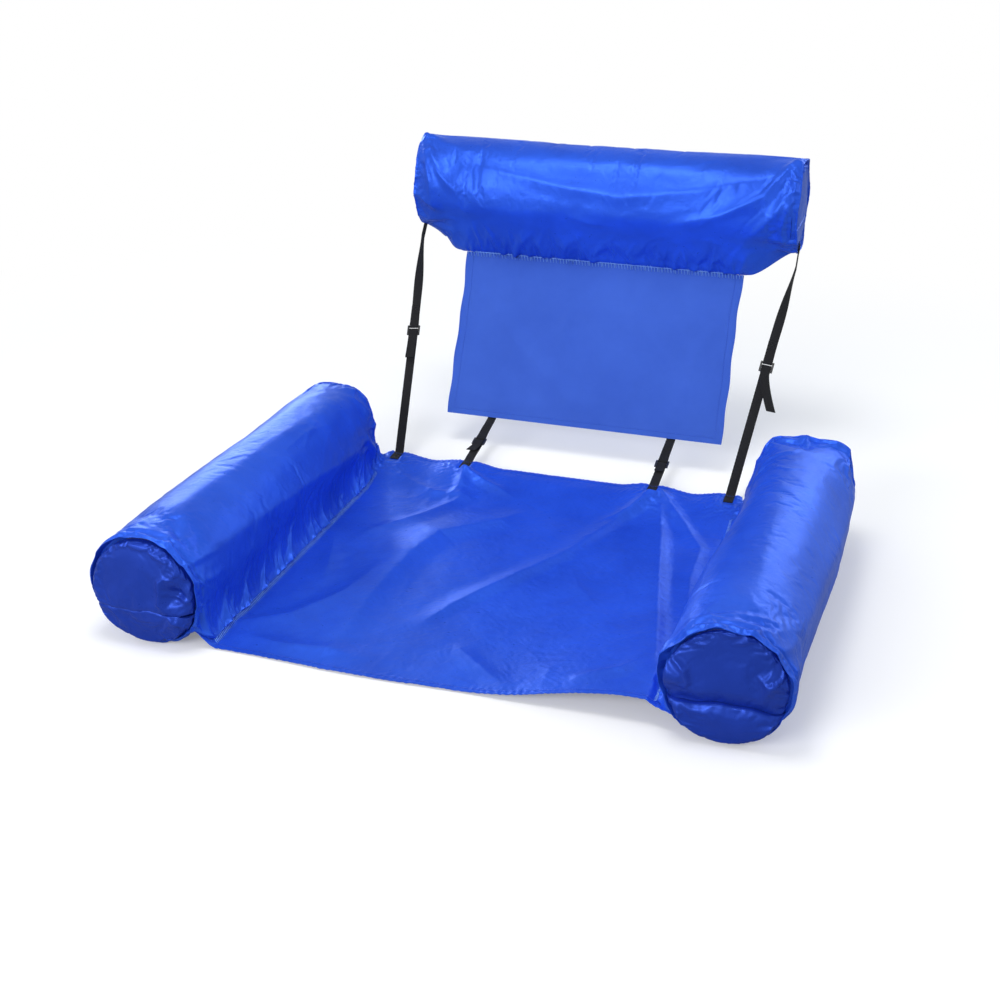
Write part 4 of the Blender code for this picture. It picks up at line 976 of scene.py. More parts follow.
class Arm:
    def __init__(self, side, sign, seed):
        self.side, self.sign, self.seed, self.prefix = side, sign, seed, side + "_arm"
        prefix, folds = self.prefix, CAP_FOLDS[side]
        above, below = folds["puff"]
        self.end = End((sign * ARM_X, -ARM_HALF, ARM_Z), (-sign, 0, 0), (0, 0, 1), (0, -1, 0))
        self.flap = EndCloth(prefix + "_flap_cloth", self.end, ARM_MOUTH, folds["dome"], above,
                             folds)
        self.low = EndCloth(prefix + "_lower_end", self.end, ARM_MOUTH, 0.006, below, folds,
                            low=True)

    def cloths(self):
        outer = arm_outer(self.side, self.sign, self.seed)
        return {self.prefix: arm_cloth(self.side, self.sign, outer),
                self.prefix + "_flap": self.flap.cloth(), self.prefix + "_low": self.low.cloth()}

    def build(self, settled, ground):
        prefix, sign, seed = self.prefix, self.sign, self.seed
        outer, turn = dress_arm(settled[prefix], self.side, sign, seed, ground)
        outer = crumpled(outer, seed, floor=0.0004)
        body = sleeve(prefix + "_cover", self.end, outer, turn, ARM_MOUTH - LIP_WIDTH)
        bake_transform(body)
        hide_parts(prefix + "_sleeve")
        rear = End((sign * ARM_X, ARM_HALF - CLOTH, ARM_Z), (sign, 0, 0), (0, 0, 1), (0, 1, 0))
        ring = rear.middle + (outer[0] - rear.middle) * (1 - 0.0016 / ARM_R) - (0, 0.0008, 0)
        cap = sewn_end(prefix + "_rear_end", rear, ring, 0.014, seed + 30)
        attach(cap, prefix)
        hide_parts(prefix + "_rear_cap")
        flap = self.flap.build(settled[prefix + "_flap"], NYLON_END_SHADED)
        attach(flap, prefix + "_flap_body")
        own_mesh(flap)
        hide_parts(prefix + "_flap")
        low = self.low.build(settled[prefix + "_low"], NYLON_END_SHADED)
        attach(low, prefix)
        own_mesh(low)
        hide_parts(prefix + "_front_cap")
        bag = bladder(prefix + "_air_bladder", self.end, ARM_BLADDER_R, -2 * ARM_HALF + 0.0027,
                      0.003 if self.side == "left" else -REAR_SHIFT["right"])
        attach(bag, prefix)
        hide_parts(prefix + "_bladder")


# Headrest bolster

def drawn_to(reach, radius, off):
    """The radius of a round section that is drawn out to a point at the angle off = 0."""
    spread = np.arccos(np.minimum(radius / reach, 1))
    return radius / np.cos(np.maximum(0, spread - off))


# Folds: a line of (x, degrees round the headrest, share of the height), width, height
HEAD_FOLDS = (
    ([(-0.3, 140, 0.2), (-0.223, 148, 0.8), (-0.085, 161, 1), (0.049, 169, 1), (0.219, 155, 1),
      (0.346, 137, 1), (0.415, 108, 0.8)], 0.014, 0.0048),
    ([(0.416, 96, 1), (0.384, 132, 1), (0.351, 157, 1), (0.266, 183, 0.7), (0.133, 203, 0.0)],
      0.006, 0.0056),
    ([(0.417, 112, 1), (0.404, 150, 1), (0.379, 178, 0.8), (0.319, 216, 0.2)], 0.006, 0.006),
    ([(0.417, 140, 1), (0.405, 170, 0.9), (0.395, 205, 0.2)], 0.005, 0.005),
    ([(0.414, 215, 1), (0.385, 212, 0.9), (0.33, 206, 0.0)], 0.006, 0.005),
    ([(0.412, 235, 1), (0.385, 232, 0.8), (0.35, 236, 0.0)], 0.006, 0.0045),
    ([(-0.42, 94, 1), (-0.392, 128, 1), (-0.363, 156, 0.9), (-0.311, 186, 0.1)], 0.006, 0.0062),
    ([(-0.42, 102, 1), (-0.398, 140, 1), (-0.384, 167, 0.9), (-0.379, 199, 0.3)], 0.005, 0.0055),
    ([(-0.418, 92, 1), (-0.37, 112, 0.8), (-0.29, 128, 0.0)], 0.007, 0.0042),
    ([(-0.417, 190, 1), (-0.392, 196, 0.9), (-0.35, 208, 0.0)], 0.006, 0.0052),
    ([(-0.414, 225, 1), (-0.385, 222, 0.8), (-0.33, 216, 0.0)], 0.006, 0.004),
    ([(-0.19, 250, 1), (-0.178, 238, 0.9), (-0.14, 222, 0.1)], 0.007, 0.0085),
    ([(-0.13, 251, 1), (-0.135, 240, 0.9), (-0.12, 218, 0.1)], 0.006, 0.0075),
    ([(-0.085, 251, 1), (-0.075, 238, 0.9), (-0.03, 224, 0.0)], 0.007, 0.0075),
    ([(-0.01, 251, 0.8), (0.01, 240, 0.6), (0.06, 232, 0.0)], 0.007, 0.005),
    ([(0.18, 251, 0.8), (0.2, 240, 0.6), (0.25, 234, 0.0)], 0.008, 0.0045),
    ([(0.3, 250, 1), (0.32, 236, 0.7), (0.36, 226, 0.1)], 0.009, 0.0055),
    ([(-0.3, 250, 1), (-0.3, 236, 0.7), (-0.27, 222, 0.0)], 0.009, 0.005),
    ([(-0.06, 200, 0.2), (-0.02, 206, 1), (0.04, 208, 0.2)], 0.005, 0.0024),
    ([(-0.4, 40, 0.6), (-0.25, 20, 1), (-0.05, 10, 0.6), (0.2, 25, 0.2)], 0.014, 0.004),
    ([(0.41, 60, 0.8), (0.3, 30, 1), (0.15, -10, 0.5)], 0.011, 0.0044),
    ([(-0.2, -40, 0.2), (0.0, -50, 1), (0.22, -35, 0.3)], 0.012, 0.0036),
)


def head_outer(seed):
    """The headrest's outer cloth, rows from its left hem to its mouth at the right."""
    rows, cols = 330, 222
    s = np.linspace(0, 1, rows)[:, None]
    turn = angles(cols, HEAD_SEAM)
    left = s * 2 * HEAD_HALF
    right = (1 - s) * 2 * HEAD_HALF
    x = left - HEAD_HALF + 0 * turn
    end = np.minimum(left, right)
    pull = smooth((HEAD_HALF - np.abs(x)) / HEAD_TAPER)
    base = HEAD_R - HEAD_DRAW * (1 - smooth(end / 0.068))
    seam_off = np.abs(angle_off(turn, HEAD_SEAM))
    crest_off = np.abs(angle_off(turn, pi / 2))
    lower = drawn_to(base + (HEAD_REACH - base) * pull, base, seam_off)
    upper = drawn_to(base + 0.0065 * smooth(end / 0.004 + 0.85), base, crest_off)
    radius = np.maximum(lower, upper)
    arc = HEAD_R * (turn - HEAD_SEAM)
    free = smooth((seam_off - 0.05) / 0.3) * smooth(crest_off / 0.10)
    keel = bell(seam_off / 0.6) * pull
    to_seam = HEAD_R * seam_off
    fold = pleats(x, to_seam, seed, 0.0085, 0.0024, 0.042)
    radius = radius + fold * smooth(seam_off / 0.05) * keel
    fold = puckers(x, to_seam, seed + 9, (-0.31, 0.31), 13, 0.006, 0.0060, 0.060, 0.8)
    radius = radius + fold * smooth(seam_off / 0.06) * keel
    radius = radius + pleats(arc, left, seed + 2, 0.010, 0.0020, 0.044) * free
    radius = radius + pleats(arc, right, seed + 4, 0.010, 0.0020, 0.044) * free
    flat_off = angle_off(turn, radians(182))
    radius = radius - 0.015 * bell(flat_off / 0.75, left / 0.034)
    radius = radius - 0.006 * bell(flat_off / 0.75, right / 0.030)
    radius = radius + 0.0011 * np.sin(turn * 8 + seed) * smooth(1 - right / 0.012) * free
    y = HEAD_AXIS[1] + radius * np.cos(turn)
    z = HEAD_AXIS[2] + radius * np.sin(turn)
    return np.stack([x + 0.0016 * np.sin(turn * 5 + 1) * smooth(1 - end / 0.04), y, z], axis=-1)


def dress_head(grid):
    rows, cols = grid.shape[:2]
    turn = angles(cols, HEAD_SEAM)
    x = np.linspace(-HEAD_HALF, HEAD_HALF, rows)[:, None] + 0 * turn
    seam_off = np.abs(angle_off(turn, HEAD_SEAM))
    crest_off = np.abs(angle_off(turn, pi / 2))
    flank = HEAD_R * ((turn - radians(-60)) % (2 * pi) + radians(-60))
    high = puckers(x, HEAD_R * seam_off, 290, (-0.31, 0.31), 20, 0.0050, 0.0075, 0.042, 0.8)
    high = high * smooth(seam_off / 0.04)
    for line, width, tall in HEAD_FOLDS:
        placed = [(a, HEAD_R * radians(b), h) for a, b, h in line]
        bold = 1.5 if abs(line[0][0]) > 0.40 else 1.1
        fold = crease(x, flank, placed, width * bold, tall * bold, 1.25)
        high = high + fold * smooth(crest_off / 0.22) * smooth(seam_off / 0.05)
    out = np.stack([0 * x, np.cos(turn) + 0 * x, np.sin(turn) + 0 * x], axis=-1)
    return grid + out * (0.9 * high)[..., None]


def head_cloth(start):
    rows, cols = start.shape[:2]
    turn = angles(cols)
    left = np.linspace(0, 2 * HEAD_HALF, rows)[:, None] + 0 * turn
    end = np.minimum(left, 2 * HEAD_HALF - left)
    seam = HEAD_R * np.minimum(turn, 2 * pi - turn) + 0 * left
    crest = HEAD_R * np.abs(turn - (pi / 2 - HEAD_SEAM) % (2 * pi)) + 0 * left
    sewn = np.maximum((end < 0.001), (seam < 0.001) & (end > 0.100)).astype(float)
    extra = 0.11 * bell(seam / 0.030) * smooth(end / 0.10)
    extra = extra + 0.08 * bell(end / 0.034) + 0.002
    extra = extra * (1 + 0.5 * layers(seam * 12, left * 9, 72)) * (1 - 0.6 * bell(crest / 0.05))
    return Cloth(start, 200, 150, True, sewn, extra, HEAD_AXIS, 3.0, 0.010)


class Headrest:
    FOLDS = {"lines": (), "low": (), "bumps": (), "valley": (0.006, 0.5), "over": ((0, 1, 0),),
             "sway": lambda side: 0 * side}

    def __init__(self):
        self.end = End(HEAD_AXIS + (HEAD_HALF, 0, 0), (0, 1, 0), (0, 0, 1), (1, 0, 0))
        self.flap = EndCloth("headrest_flap_cloth", self.end, HEAD_MOUTH, 0.005, 0.008, self.FOLDS)
        self.low = EndCloth("headrest_right_end", self.end, HEAD_MOUTH, 0.0, 0.008, self.FOLDS,
                            low=True)

    def cloths(self):
        return {"headrest": head_cloth(head_outer(211)), "headrest_flap": self.flap.cloth(),
                "headrest_low": self.low.cloth()}

    def build(self, settled, ground):
        left = End(HEAD_AXIS - (HEAD_HALF - 0.002, 0, 0), (0, -1, 0), (0, 0, 1), (-1, 0, 0))
        outer = crumpled(dress_head(settled["headrest"]), 211, share=0.4)
        turn = angles(outer.shape[1], HEAD_SEAM)[0]
        body = sleeve("headrest_cover", self.end, outer, turn, HEAD_MOUTH - LIP_WIDTH)
        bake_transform(body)
        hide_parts("headrest_sleeve")
        ring = left.middle + (outer[0] - left.middle) * (1 - 0.0016 / HEAD_R) + (0.0008, 0, 0)
        cap = sewn_end("headrest_left_end", left, ring, 0.004, 301, gathered=False)
        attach(cap, "headrest")
        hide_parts("headrest_left_cap")
        flap = self.flap.build(settled["headrest_flap"], NYLON)
        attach(flap, "headrest_flap_body")
        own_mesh(flap)
        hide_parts("headrest_flap")
        low = self.low.build(settled["headrest_low"], NYLON)
        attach(low, "headrest")
        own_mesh(low)
        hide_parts("headrest_right_cap")
        bag = bladder("headrest_air_bladder", self.end, HEAD_BLADDER_R, -2 * HEAD_HALF + 0.0047)
        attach(bag, "headrest")
        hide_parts("headrest_bladder")


# Seat sheet

def seat_edge(y):
    """How far the sheet reaches to each side. It narrows behind the arms."""
    behind = smooth((y - ARM_HALF) / (SEAT_REAR - ARM_HALF))
    return SEAT_EDGE + (SEAT_CORNER - SEAT_EDGE) * behind


def seat_lift(x, y):
    """The height of what holds the sheet up: the arms' seams, and the straps at its rear."""
    side = smooth((np.abs(x) - SEAT_FLAT) / (SEAT_EDGE - SEAT_FLAT))
    held = 1 - smooth((y - ARM_HALF) / (SEAT_REAR - ARM_HALF))
    sewn = (SEAM_Z - SEAT_CLOTH - GAP) * side * held
    clear = WEB / 2 + 0.0012
    inner = np.maximum(0, np.abs(np.abs(x) - INNER_X) - clear)
    outer = np.maximum(0, np.abs(np.abs(x) - OUTER_X) - clear)
    slack = smooth(np.minimum(inner, outer) / (INNER_X / 3))
    rear = (0.028 - 0.009 * slack) * smooth((y - SEAT_REAR + 0.165) / 0.153)
    return np.maximum(sewn, rear)


# Folds: a line of (x, y, share of the height), width, height, how much steeper its left is
SEAT_FOLDS = (
    ([(-0.02, 0.33, 0.0), (-0.064, 0.243, 0.8), (-0.162, 0.149, 1), (-0.184, 0.045, 1),
      (-0.191, -0.057, 1), (-0.193, -0.183, 0.8), (-0.19, -0.31, 0.3)], 0.03, 0.0085, 1.5),
    ([(0.231, 0.43, 0.6), (0.17, 0.344, 1), (0.103, 0.152, 0.8), (0.05, 0.051, 1),
      (0.001, -0.04, 1), (-0.043, -0.122, 0.7), (-0.085, -0.22, 0.0)], 0.014, 0.006, 1.3),
    ([(0.225, 0.425, 0.6), (0.262, 0.264, 1), (0.3, 0.058, 1), (0.335, -0.122, 1),
      (0.368, -0.3, 0.5)], 0.018, 0.0065, 1.6),
    ([(0.24, 0.42, 0.5), (0.3, 0.33, 1), (0.345, 0.25, 0.6), (0.35, 0.11, 0.8),
      (0.372, -0.035, 0.2)], 0.011, 0.0045, 1.2),
    ([(-0.35, -0.33, 0.5), (-0.27, -0.34, 1), (-0.18, -0.33, 0.8), (-0.1, -0.335, 0.0)], 0.015,
      0.004, 1.0),
    ([(-0.39, -0.3, 0.6), (-0.3, -0.24, 1), (-0.24, -0.14, 0.8), (-0.22, -0.02, 0.2)], 0.02,
      0.0055, 1.2),
    ([(-0.33, 0.376, 0.3), (-0.24, 0.33, 1), (-0.164, 0.33, 0.3)], 0.012, 0.0045, 1.1),
    ([(-0.301, 0.127, 0.3), (-0.227, 0.215, 1), (-0.176, 0.318, 0.7), (-0.195, 0.41, 0.5)], 0.013,
      0.0048, 1.2),
    ([(-0.2, 0.415, 1), (-0.193, 0.366, 0.8), (-0.207, 0.282, 0.0)], 0.009, 0.0045, 1.0),
    ([(-0.198, 0.415, 1), (-0.115, 0.38, 0.8), (-0.056, 0.345, 0.0)], 0.009, 0.0042, 1.0),
    ([(0.205, 0.415, 1), (0.18, 0.35, 0.8), (0.11, 0.29, 0.0)], 0.009, 0.004, 1.0),
    ([(0.12, 0.1, 0.0), (0.16, 0.02, 0.7), (0.24, -0.08, 0.0)], 0.01, 0.0022, 1.0),
    ([(0.023, -0.259, 0.4), (0.074, -0.304, 0.9), (0.127, -0.35, 0.4)], 0.012, 0.0035, 1.0),
    ([(0.25, -0.33, 0.5), (0.31, -0.3, 0.9), (0.35, -0.23, 0.2)], 0.012, 0.0042, 1.0),
    ([(-0.365, 0.1, 0.4), (-0.33, 0.0, 0.9), (-0.3, -0.1, 0.2)], 0.012, 0.003, 1.0),
)


def seat_start():
    """The sheet before it settles, and where its straps hold it down."""
    rows, cols = 290, 290
    v = np.linspace(0, 1, rows)[:, None]
    u = np.linspace(-1, 1, cols)[None, :]
    y = SEAT_FRONT + (SEAT_REAR - SEAT_FRONT) * v + 0 * u
    x = seat_edge(y) * u
    from_edge = seat_edge(y) - np.abs(x)
    inside = smooth(from_edge / 0.030) * smooth((SEAT_REAR - y) / 0.045)
    fold = 0
    for line, width, tall, side in SEAT_FOLDS:
        fold = fold + crease(x, y, line, width, 1.5 * tall, side)
    fold = fold + 0.0010 * (1 + layers(x * 14, y * 14, 510))
    waver = 0.0035 * np.sin(5 * x / SEAT_FLAT) * (1 - smooth((y - SEAT_FRONT) / 0.076))
    front = 1 - smooth((y - SEAT_FRONT) / 0.20)
    waver = waver + 0.012 * smooth((x - 0.12) / 0.20) * smooth((SEAT_EDGE - x) / 0.060) * front
    rise = smooth((x - 0.06) / 0.29) * smooth((SEAT_EDGE + 0.004 - x) / 0.060)
    rise = rise * (1 - smooth((y - SEAT_FRONT) / 0.42))
    z = seat_lift(x, y) + SEAT_CLOTH + fold * inside + 0.041 * rise
    bunch = bell((np.abs(x) - 0.404) / 0.011, (y - 0.402) / 0.024)
    bunch = bunch * (1 + 0.35 * np.sin(y * 480) + 0.3 * np.sin(x * 700 + y * 190))
    z = z + np.where(x < 0, 0.046, 0.006) * bunch
    tabs = np.zeros_like(x)
    for place in (INNER_X, OUTER_X):
        tabs = np.maximum(tabs, smooth((0.016 - np.abs(np.abs(x) - place)) / 0.006))
    held = tabs * smooth((y - SEAT_REAR + 0.050) / 0.012)
    z = z + (np.minimum(z, seat_lift(x, y) + SEAT_CLOTH) - z) * held
    return np.stack([x, y + waver, z], axis=-1), held


def seat_cloth(start, held):
    x, y = start[..., 0], start[..., 1]
    edge = seat_edge(y) - np.abs(x)
    hem = np.minimum(y - SEAT_FRONT, SEAT_REAR - y)
    sewn = np.maximum((edge < 0.001) * 1.0, np.maximum(0.40, held))
    extra = 0.05 * bell(edge / 0.016) + 0.03 * bell(hem / 0.012) + 0.003
    near = np.minimum(np.hypot(np.abs(x) - INNER_X, y - SEAT_REAR),
                      np.hypot(np.abs(x) - OUTER_X, y - SEAT_REAR))
    extra = extra + 0.06 * bell(near / 0.060)
    extra = extra * (1 + 0.5 * layers(x * 9 + 20, y * 9 + 20, 73))
    return Cloth(start, 170, 170, False, sewn, extra, (0, 0, -5), 0.6, 0.010, 0.4, 0.6)


def seat_surface(grid, held):
    """The settled sheet with its turned hems and small crumples, clear of what it lies on."""
    x, y = grid[..., 0], grid[..., 1]
    v = np.linspace(0, 1, len(grid))[:, None] + 0 * x
    hem = np.minimum(v, 1 - v) * (SEAT_REAR - SEAT_FRONT)
    turned = 0.0007 * (1 - smooth((hem - 0.010) / 0.0015))
    loose = smooth((seat_edge(y) - np.abs(x)) / 0.010) * (1 - held)
    small = 0.0016 * crumple(x * 11, y * 11, 501) * smooth(layers(x * 5, y * 5, 502) + 0.4)
    small = small + 0.0004 * (1 + layers(x * 40, y * 40, 503))
    grid[..., 2] = np.maximum(grid[..., 2], seat_lift(x, y) + SEAT_CLOTH) + turned + small * loose
    return grid


def height_over(grid):
    """A function that gives the sheet's height at x (rows of points) and y (one for each row)."""
    def height(x, y):
        at = (np.asarray(y) - SEAT_FRONT) / (SEAT_REAR - SEAT_FRONT) * (len(grid) - 1)
        at = np.clip(np.round(at).astype(int), 0, len(grid) - 1)
        return np.array([np.interp(row, grid[j, :, 0], grid[j, :, 2]) for row, j in zip(x, at)])
    return height


def build_seat(grid):
    rows = len(grid)
    seat = cloth_sheet("seat_cloth", grid, SEAT_CLOTH, NYLON)
    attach(seat, "seat")
    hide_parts("seat_sheet")
    for side, sign in (("left", -1), ("right", 1)):
        runs, pitch = [], 0.0042
        for k in range(int((2 * SEAT_FRONT + 0.030) / -pitch)):
            spot = SEAT_FRONT + 0.018 + pitch * k
            ends = sign * (FOOT_X - np.array((0.0066, 0.0036, 0.0004)))
            high = height_over(grid)(ends[None], [spot])[0] + (0.0001, 0.0016, 0.0042)
            runs.append([(ends[m], spot + 0.0012 * (m - 1), high[m]) for m in range(3)])
        sewn = rods(side + "_seam_stitches", runs, 0.00070, THREAD_PALE, 5)
        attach(sewn, "seat")
    count, inset = 360, 0.0095
    for name, line in (("seat_front_stitches", SEAT_FRONT + inset),
                       ("seat_rear_stitches", SEAT_REAR - inset)):
        px = (2 * np.linspace(0, 1, count) - 1) * (seat_edge(np.array(line)) - 0.008)
        j = int(round((line - SEAT_FRONT) / (SEAT_REAR - SEAT_FRONT) * (rows - 1)))
        path = np.stack([np.interp(px, grid[j, :, 0], grid[j, :, k]) for k in range(3)], 1)
        path[:, 2] += 0.0005
        runs = stitch_runs(path, np.tile((0, 0, 1.0), (count, 1)))
        made = rods(name, runs, 0.0004, THREAD, 5)
        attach(made, "seat")


# Back panel

def build_panel():
    rows, cols = 120, 190
    v = np.linspace(0, 1, rows)[:, None]
    u = np.linspace(-1, 1, cols)[None, :]
    across, up = PANEL_HALF * u + 0 * v, PANEL_LENGTH * v + 0 * u
    edge = PANEL_HALF * (u + 0.006 * np.sin(7 * v) * u * v)
    edge = edge + 0.0012 * np.sin(up * 60) * np.sign(u) * smooth((np.abs(u) - 0.9) / 0.1)
    hem = 0.012 / PANEL_LENGTH
    wave = 0.004 * np.sin(pi * v) * np.cos(4.5 * u + 2 * v) * smooth((v - hem) / 0.3)
    wave = wave + 0.0016 * layers(across * 9, up * 9, 601) * smooth((1 - v) / 0.1) * smooth(v / 0.1)
    for line, width, tall in (
        ([(-0.290, 0.300, 0.3), (-0.180, 0.180, 1), (-0.040, 0.060, 0.8), (0.080, 0.010, 0.2)],
         0.020, 0.0026),
        ([(-0.080, 0.340, 0.6), (-0.060, 0.240, 0.9), (-0.090, 0.120, 0.0)], 0.014, 0.0026),
        ([(0.060, 0.345, 0.5), (0.120, 0.230, 0.8), (0.240, 0.120, 0.0)], 0.016, 0.0022),
        ([(0.300, 0.300, 0.3), (0.240, 0.200, 0.8), (0.220, 0.060, 0.2)], 0.014, 0.0022),
        ([(-0.300, 0.060, 0.4), (-0.200, 0.030, 0.8), (-0.080, 0.030, 0.0)], 0.012, 0.0016),
    ):
        wave = wave + crease(across, up, line, width, 1.5 * tall)
    down = PANEL_LENGTH - up
    fold = puckers(across, down, 611, (-0.30, 0.30), 34, 0.005, 0.0016, 0.030, 0.4)
    wave = wave + fold * smooth(down / 0.003)
    side = PANEL_HALF - np.abs(across)
    turned = 0.0006 * (1 - smooth((np.minimum(side, up) - 0.0105) / 0.0015))
    wave = wave * smooth(side / 0.010 + 0.4)
    edge = edge + 0.005 * (1 - u) / 2
    grid = (PANEL_FOOT + up[..., None] * PANEL_UP + edge[..., None] * np.array((1.0, 0, 0))
            + (wave + 0.00075 + turned)[..., None] * PANEL_OUT)
    panel = cloth_sheet("back_panel_cloth", grid, 0.0015, PANEL)
    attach(panel, "backrest")
    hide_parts("back_panel")
    lift = PANEL_OUT * 0.0004
    runs = []
    for k in (5, cols - 6):
        runs += stitch_runs(grid[3:, k] + lift, np.tile(PANEL_OUT, (rows - 3, 1)))
    runs += stitch_runs(grid[4, 5:-5] + lift, np.tile(PANEL_OUT, (cols - 10, 1)))
    sewn = rods("back_panel_stitches", runs, 0.00035, THREAD, 5)
    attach(sewn, "backrest")
    zig = []
    for k in range(104):
        x = -0.313 + 0.626 * k / 103
        i = int(round((x + PANEL_HALF) / (2 * PANEL_HALF) * (cols - 1)))
        low = grid[-4, i] + (0.0020, 0, 0) + PANEL_OUT * 0.0004
        top = grid[-1, i] + PANEL_OUT * 0.0016
        zig.append([low, top, top + PANEL_UP * 0.0033 + PANEL_OUT * 0.0026 - (0.0020, 0, 0)])
    chain = PANEL_UP * 0.0005 + PANEL_OUT * 0.0013
    zig.append([grid[-1, i] + chain for i in range(3, cols - 3, 2)])
    sewn = rods("back_panel_overlock", zig, 0.00085, THREAD_PALE, 5)
    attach(sewn, "backrest")


# Straps

# A buckle's bars, the length in which a strap settles beside one, and half a sewn box's width
BAR_PITCH, BAR, BUCKLE_DEPTH, SETTLE, BOX_HALF = 0.010, 0.0032, 0.0030, 0.012, 0.0072
OFFSET = BUCKLE_DEPTH / 2 + 0.0005 + WEB_DEPTH / 2
# How long each free tail is, and how far some of them swing aside
TAILS = {"left_outer": 0.055, "left_inner": 0.030, "right_inner": 0.018, "right_outer": 0.085}
SWING = {"right_outer": 0.42, "left_inner": -0.2}


class Run:
    """A strap's straight run: where it starts, its direction and its buckle's middle."""

    def __init__(self, start, end, share):
        self.start = start
        self.length = np.linalg.norm(end - start)
        self.along = (end - start) / self.length
        across = np.array((1.0, 0, 0)) - self.along * self.along[0]
        self.across = across / np.linalg.norm(across)
        self.front = np.cross(self.across, self.along)
        self.buckle = self.length * share

    def at(self, along, front):
        return self.start + self.along * (self.buckle + along) + self.front * front


def loop_path(bar, turn, steps=10):
    """Half a turn round a buckle's bar, as (along, front) of the strap."""
    return [(bar + turn * (0.0010 + OFFSET * sin(pi * k / steps)), -OFFSET * cos(pi * k / steps))
            for k in range(steps + 1)]


def web_strip(name, stations):
    """Flat webbing through (point, across) stations, with rounded edges."""
    points = np.array([s[0] for s in stations])
    across = np.array([s[1] for s in stations])
    ahead = np.gradient(points, axis=0)
    ahead /= np.linalg.norm(ahead, axis=1, keepdims=True)
    deep = np.cross(ahead, across)
    deep /= np.linalg.norm(deep, axis=1, keepdims=True)
    w, d = WEB / 2, WEB_DEPTH / 2
    shares = (-1, -0.97, -0.5, 0, 0.5, 0.97)
    section = [(w * k, -d if k > -1 else 0) for k in shares]
    section += [(-w * k, d if k > -1 else 0) for k in shares]
    grid = np.array([[p + a * s + q * t for s, t in section]
                     for p, a, q in zip(points, across, deep)])
    return skin(name, grid, WEBBING, wrap=True, poles=True, edges_sharp=60)


def spaced(stations, step=0.004):
    """The same stations with more between them, on a smooth line."""
    both = np.array([np.r_[p, a] for p, a in stations])
    fine = along_curve(both, step)
    return [(row[:3], row[3:] / np.linalg.norm(row[3:])) for row in fine]


def box_stitches(centre, wide, long, out, half_wide, half_long):
    """A sewn box with its two diagonals, as on a strap's fixed end."""
    corners = [centre + wide * half_wide * a + long * half_long * b
               for a, b in ((-1, -1), (1, -1), (1, 1), (-1, 1))]
    lines = [(corners[k], corners[(k + 1) % 4]) for k in range(4)]
    lines += [(corners[0], corners[2]), (corners[1], corners[3])]
    runs = []
    for a, b in lines:
        path = np.linspace(a, b, 12)
        runs += stitch_runs(path, np.tile(out, (12, 1)), 0.0022, 0.0008, 0.0003)
    return runs


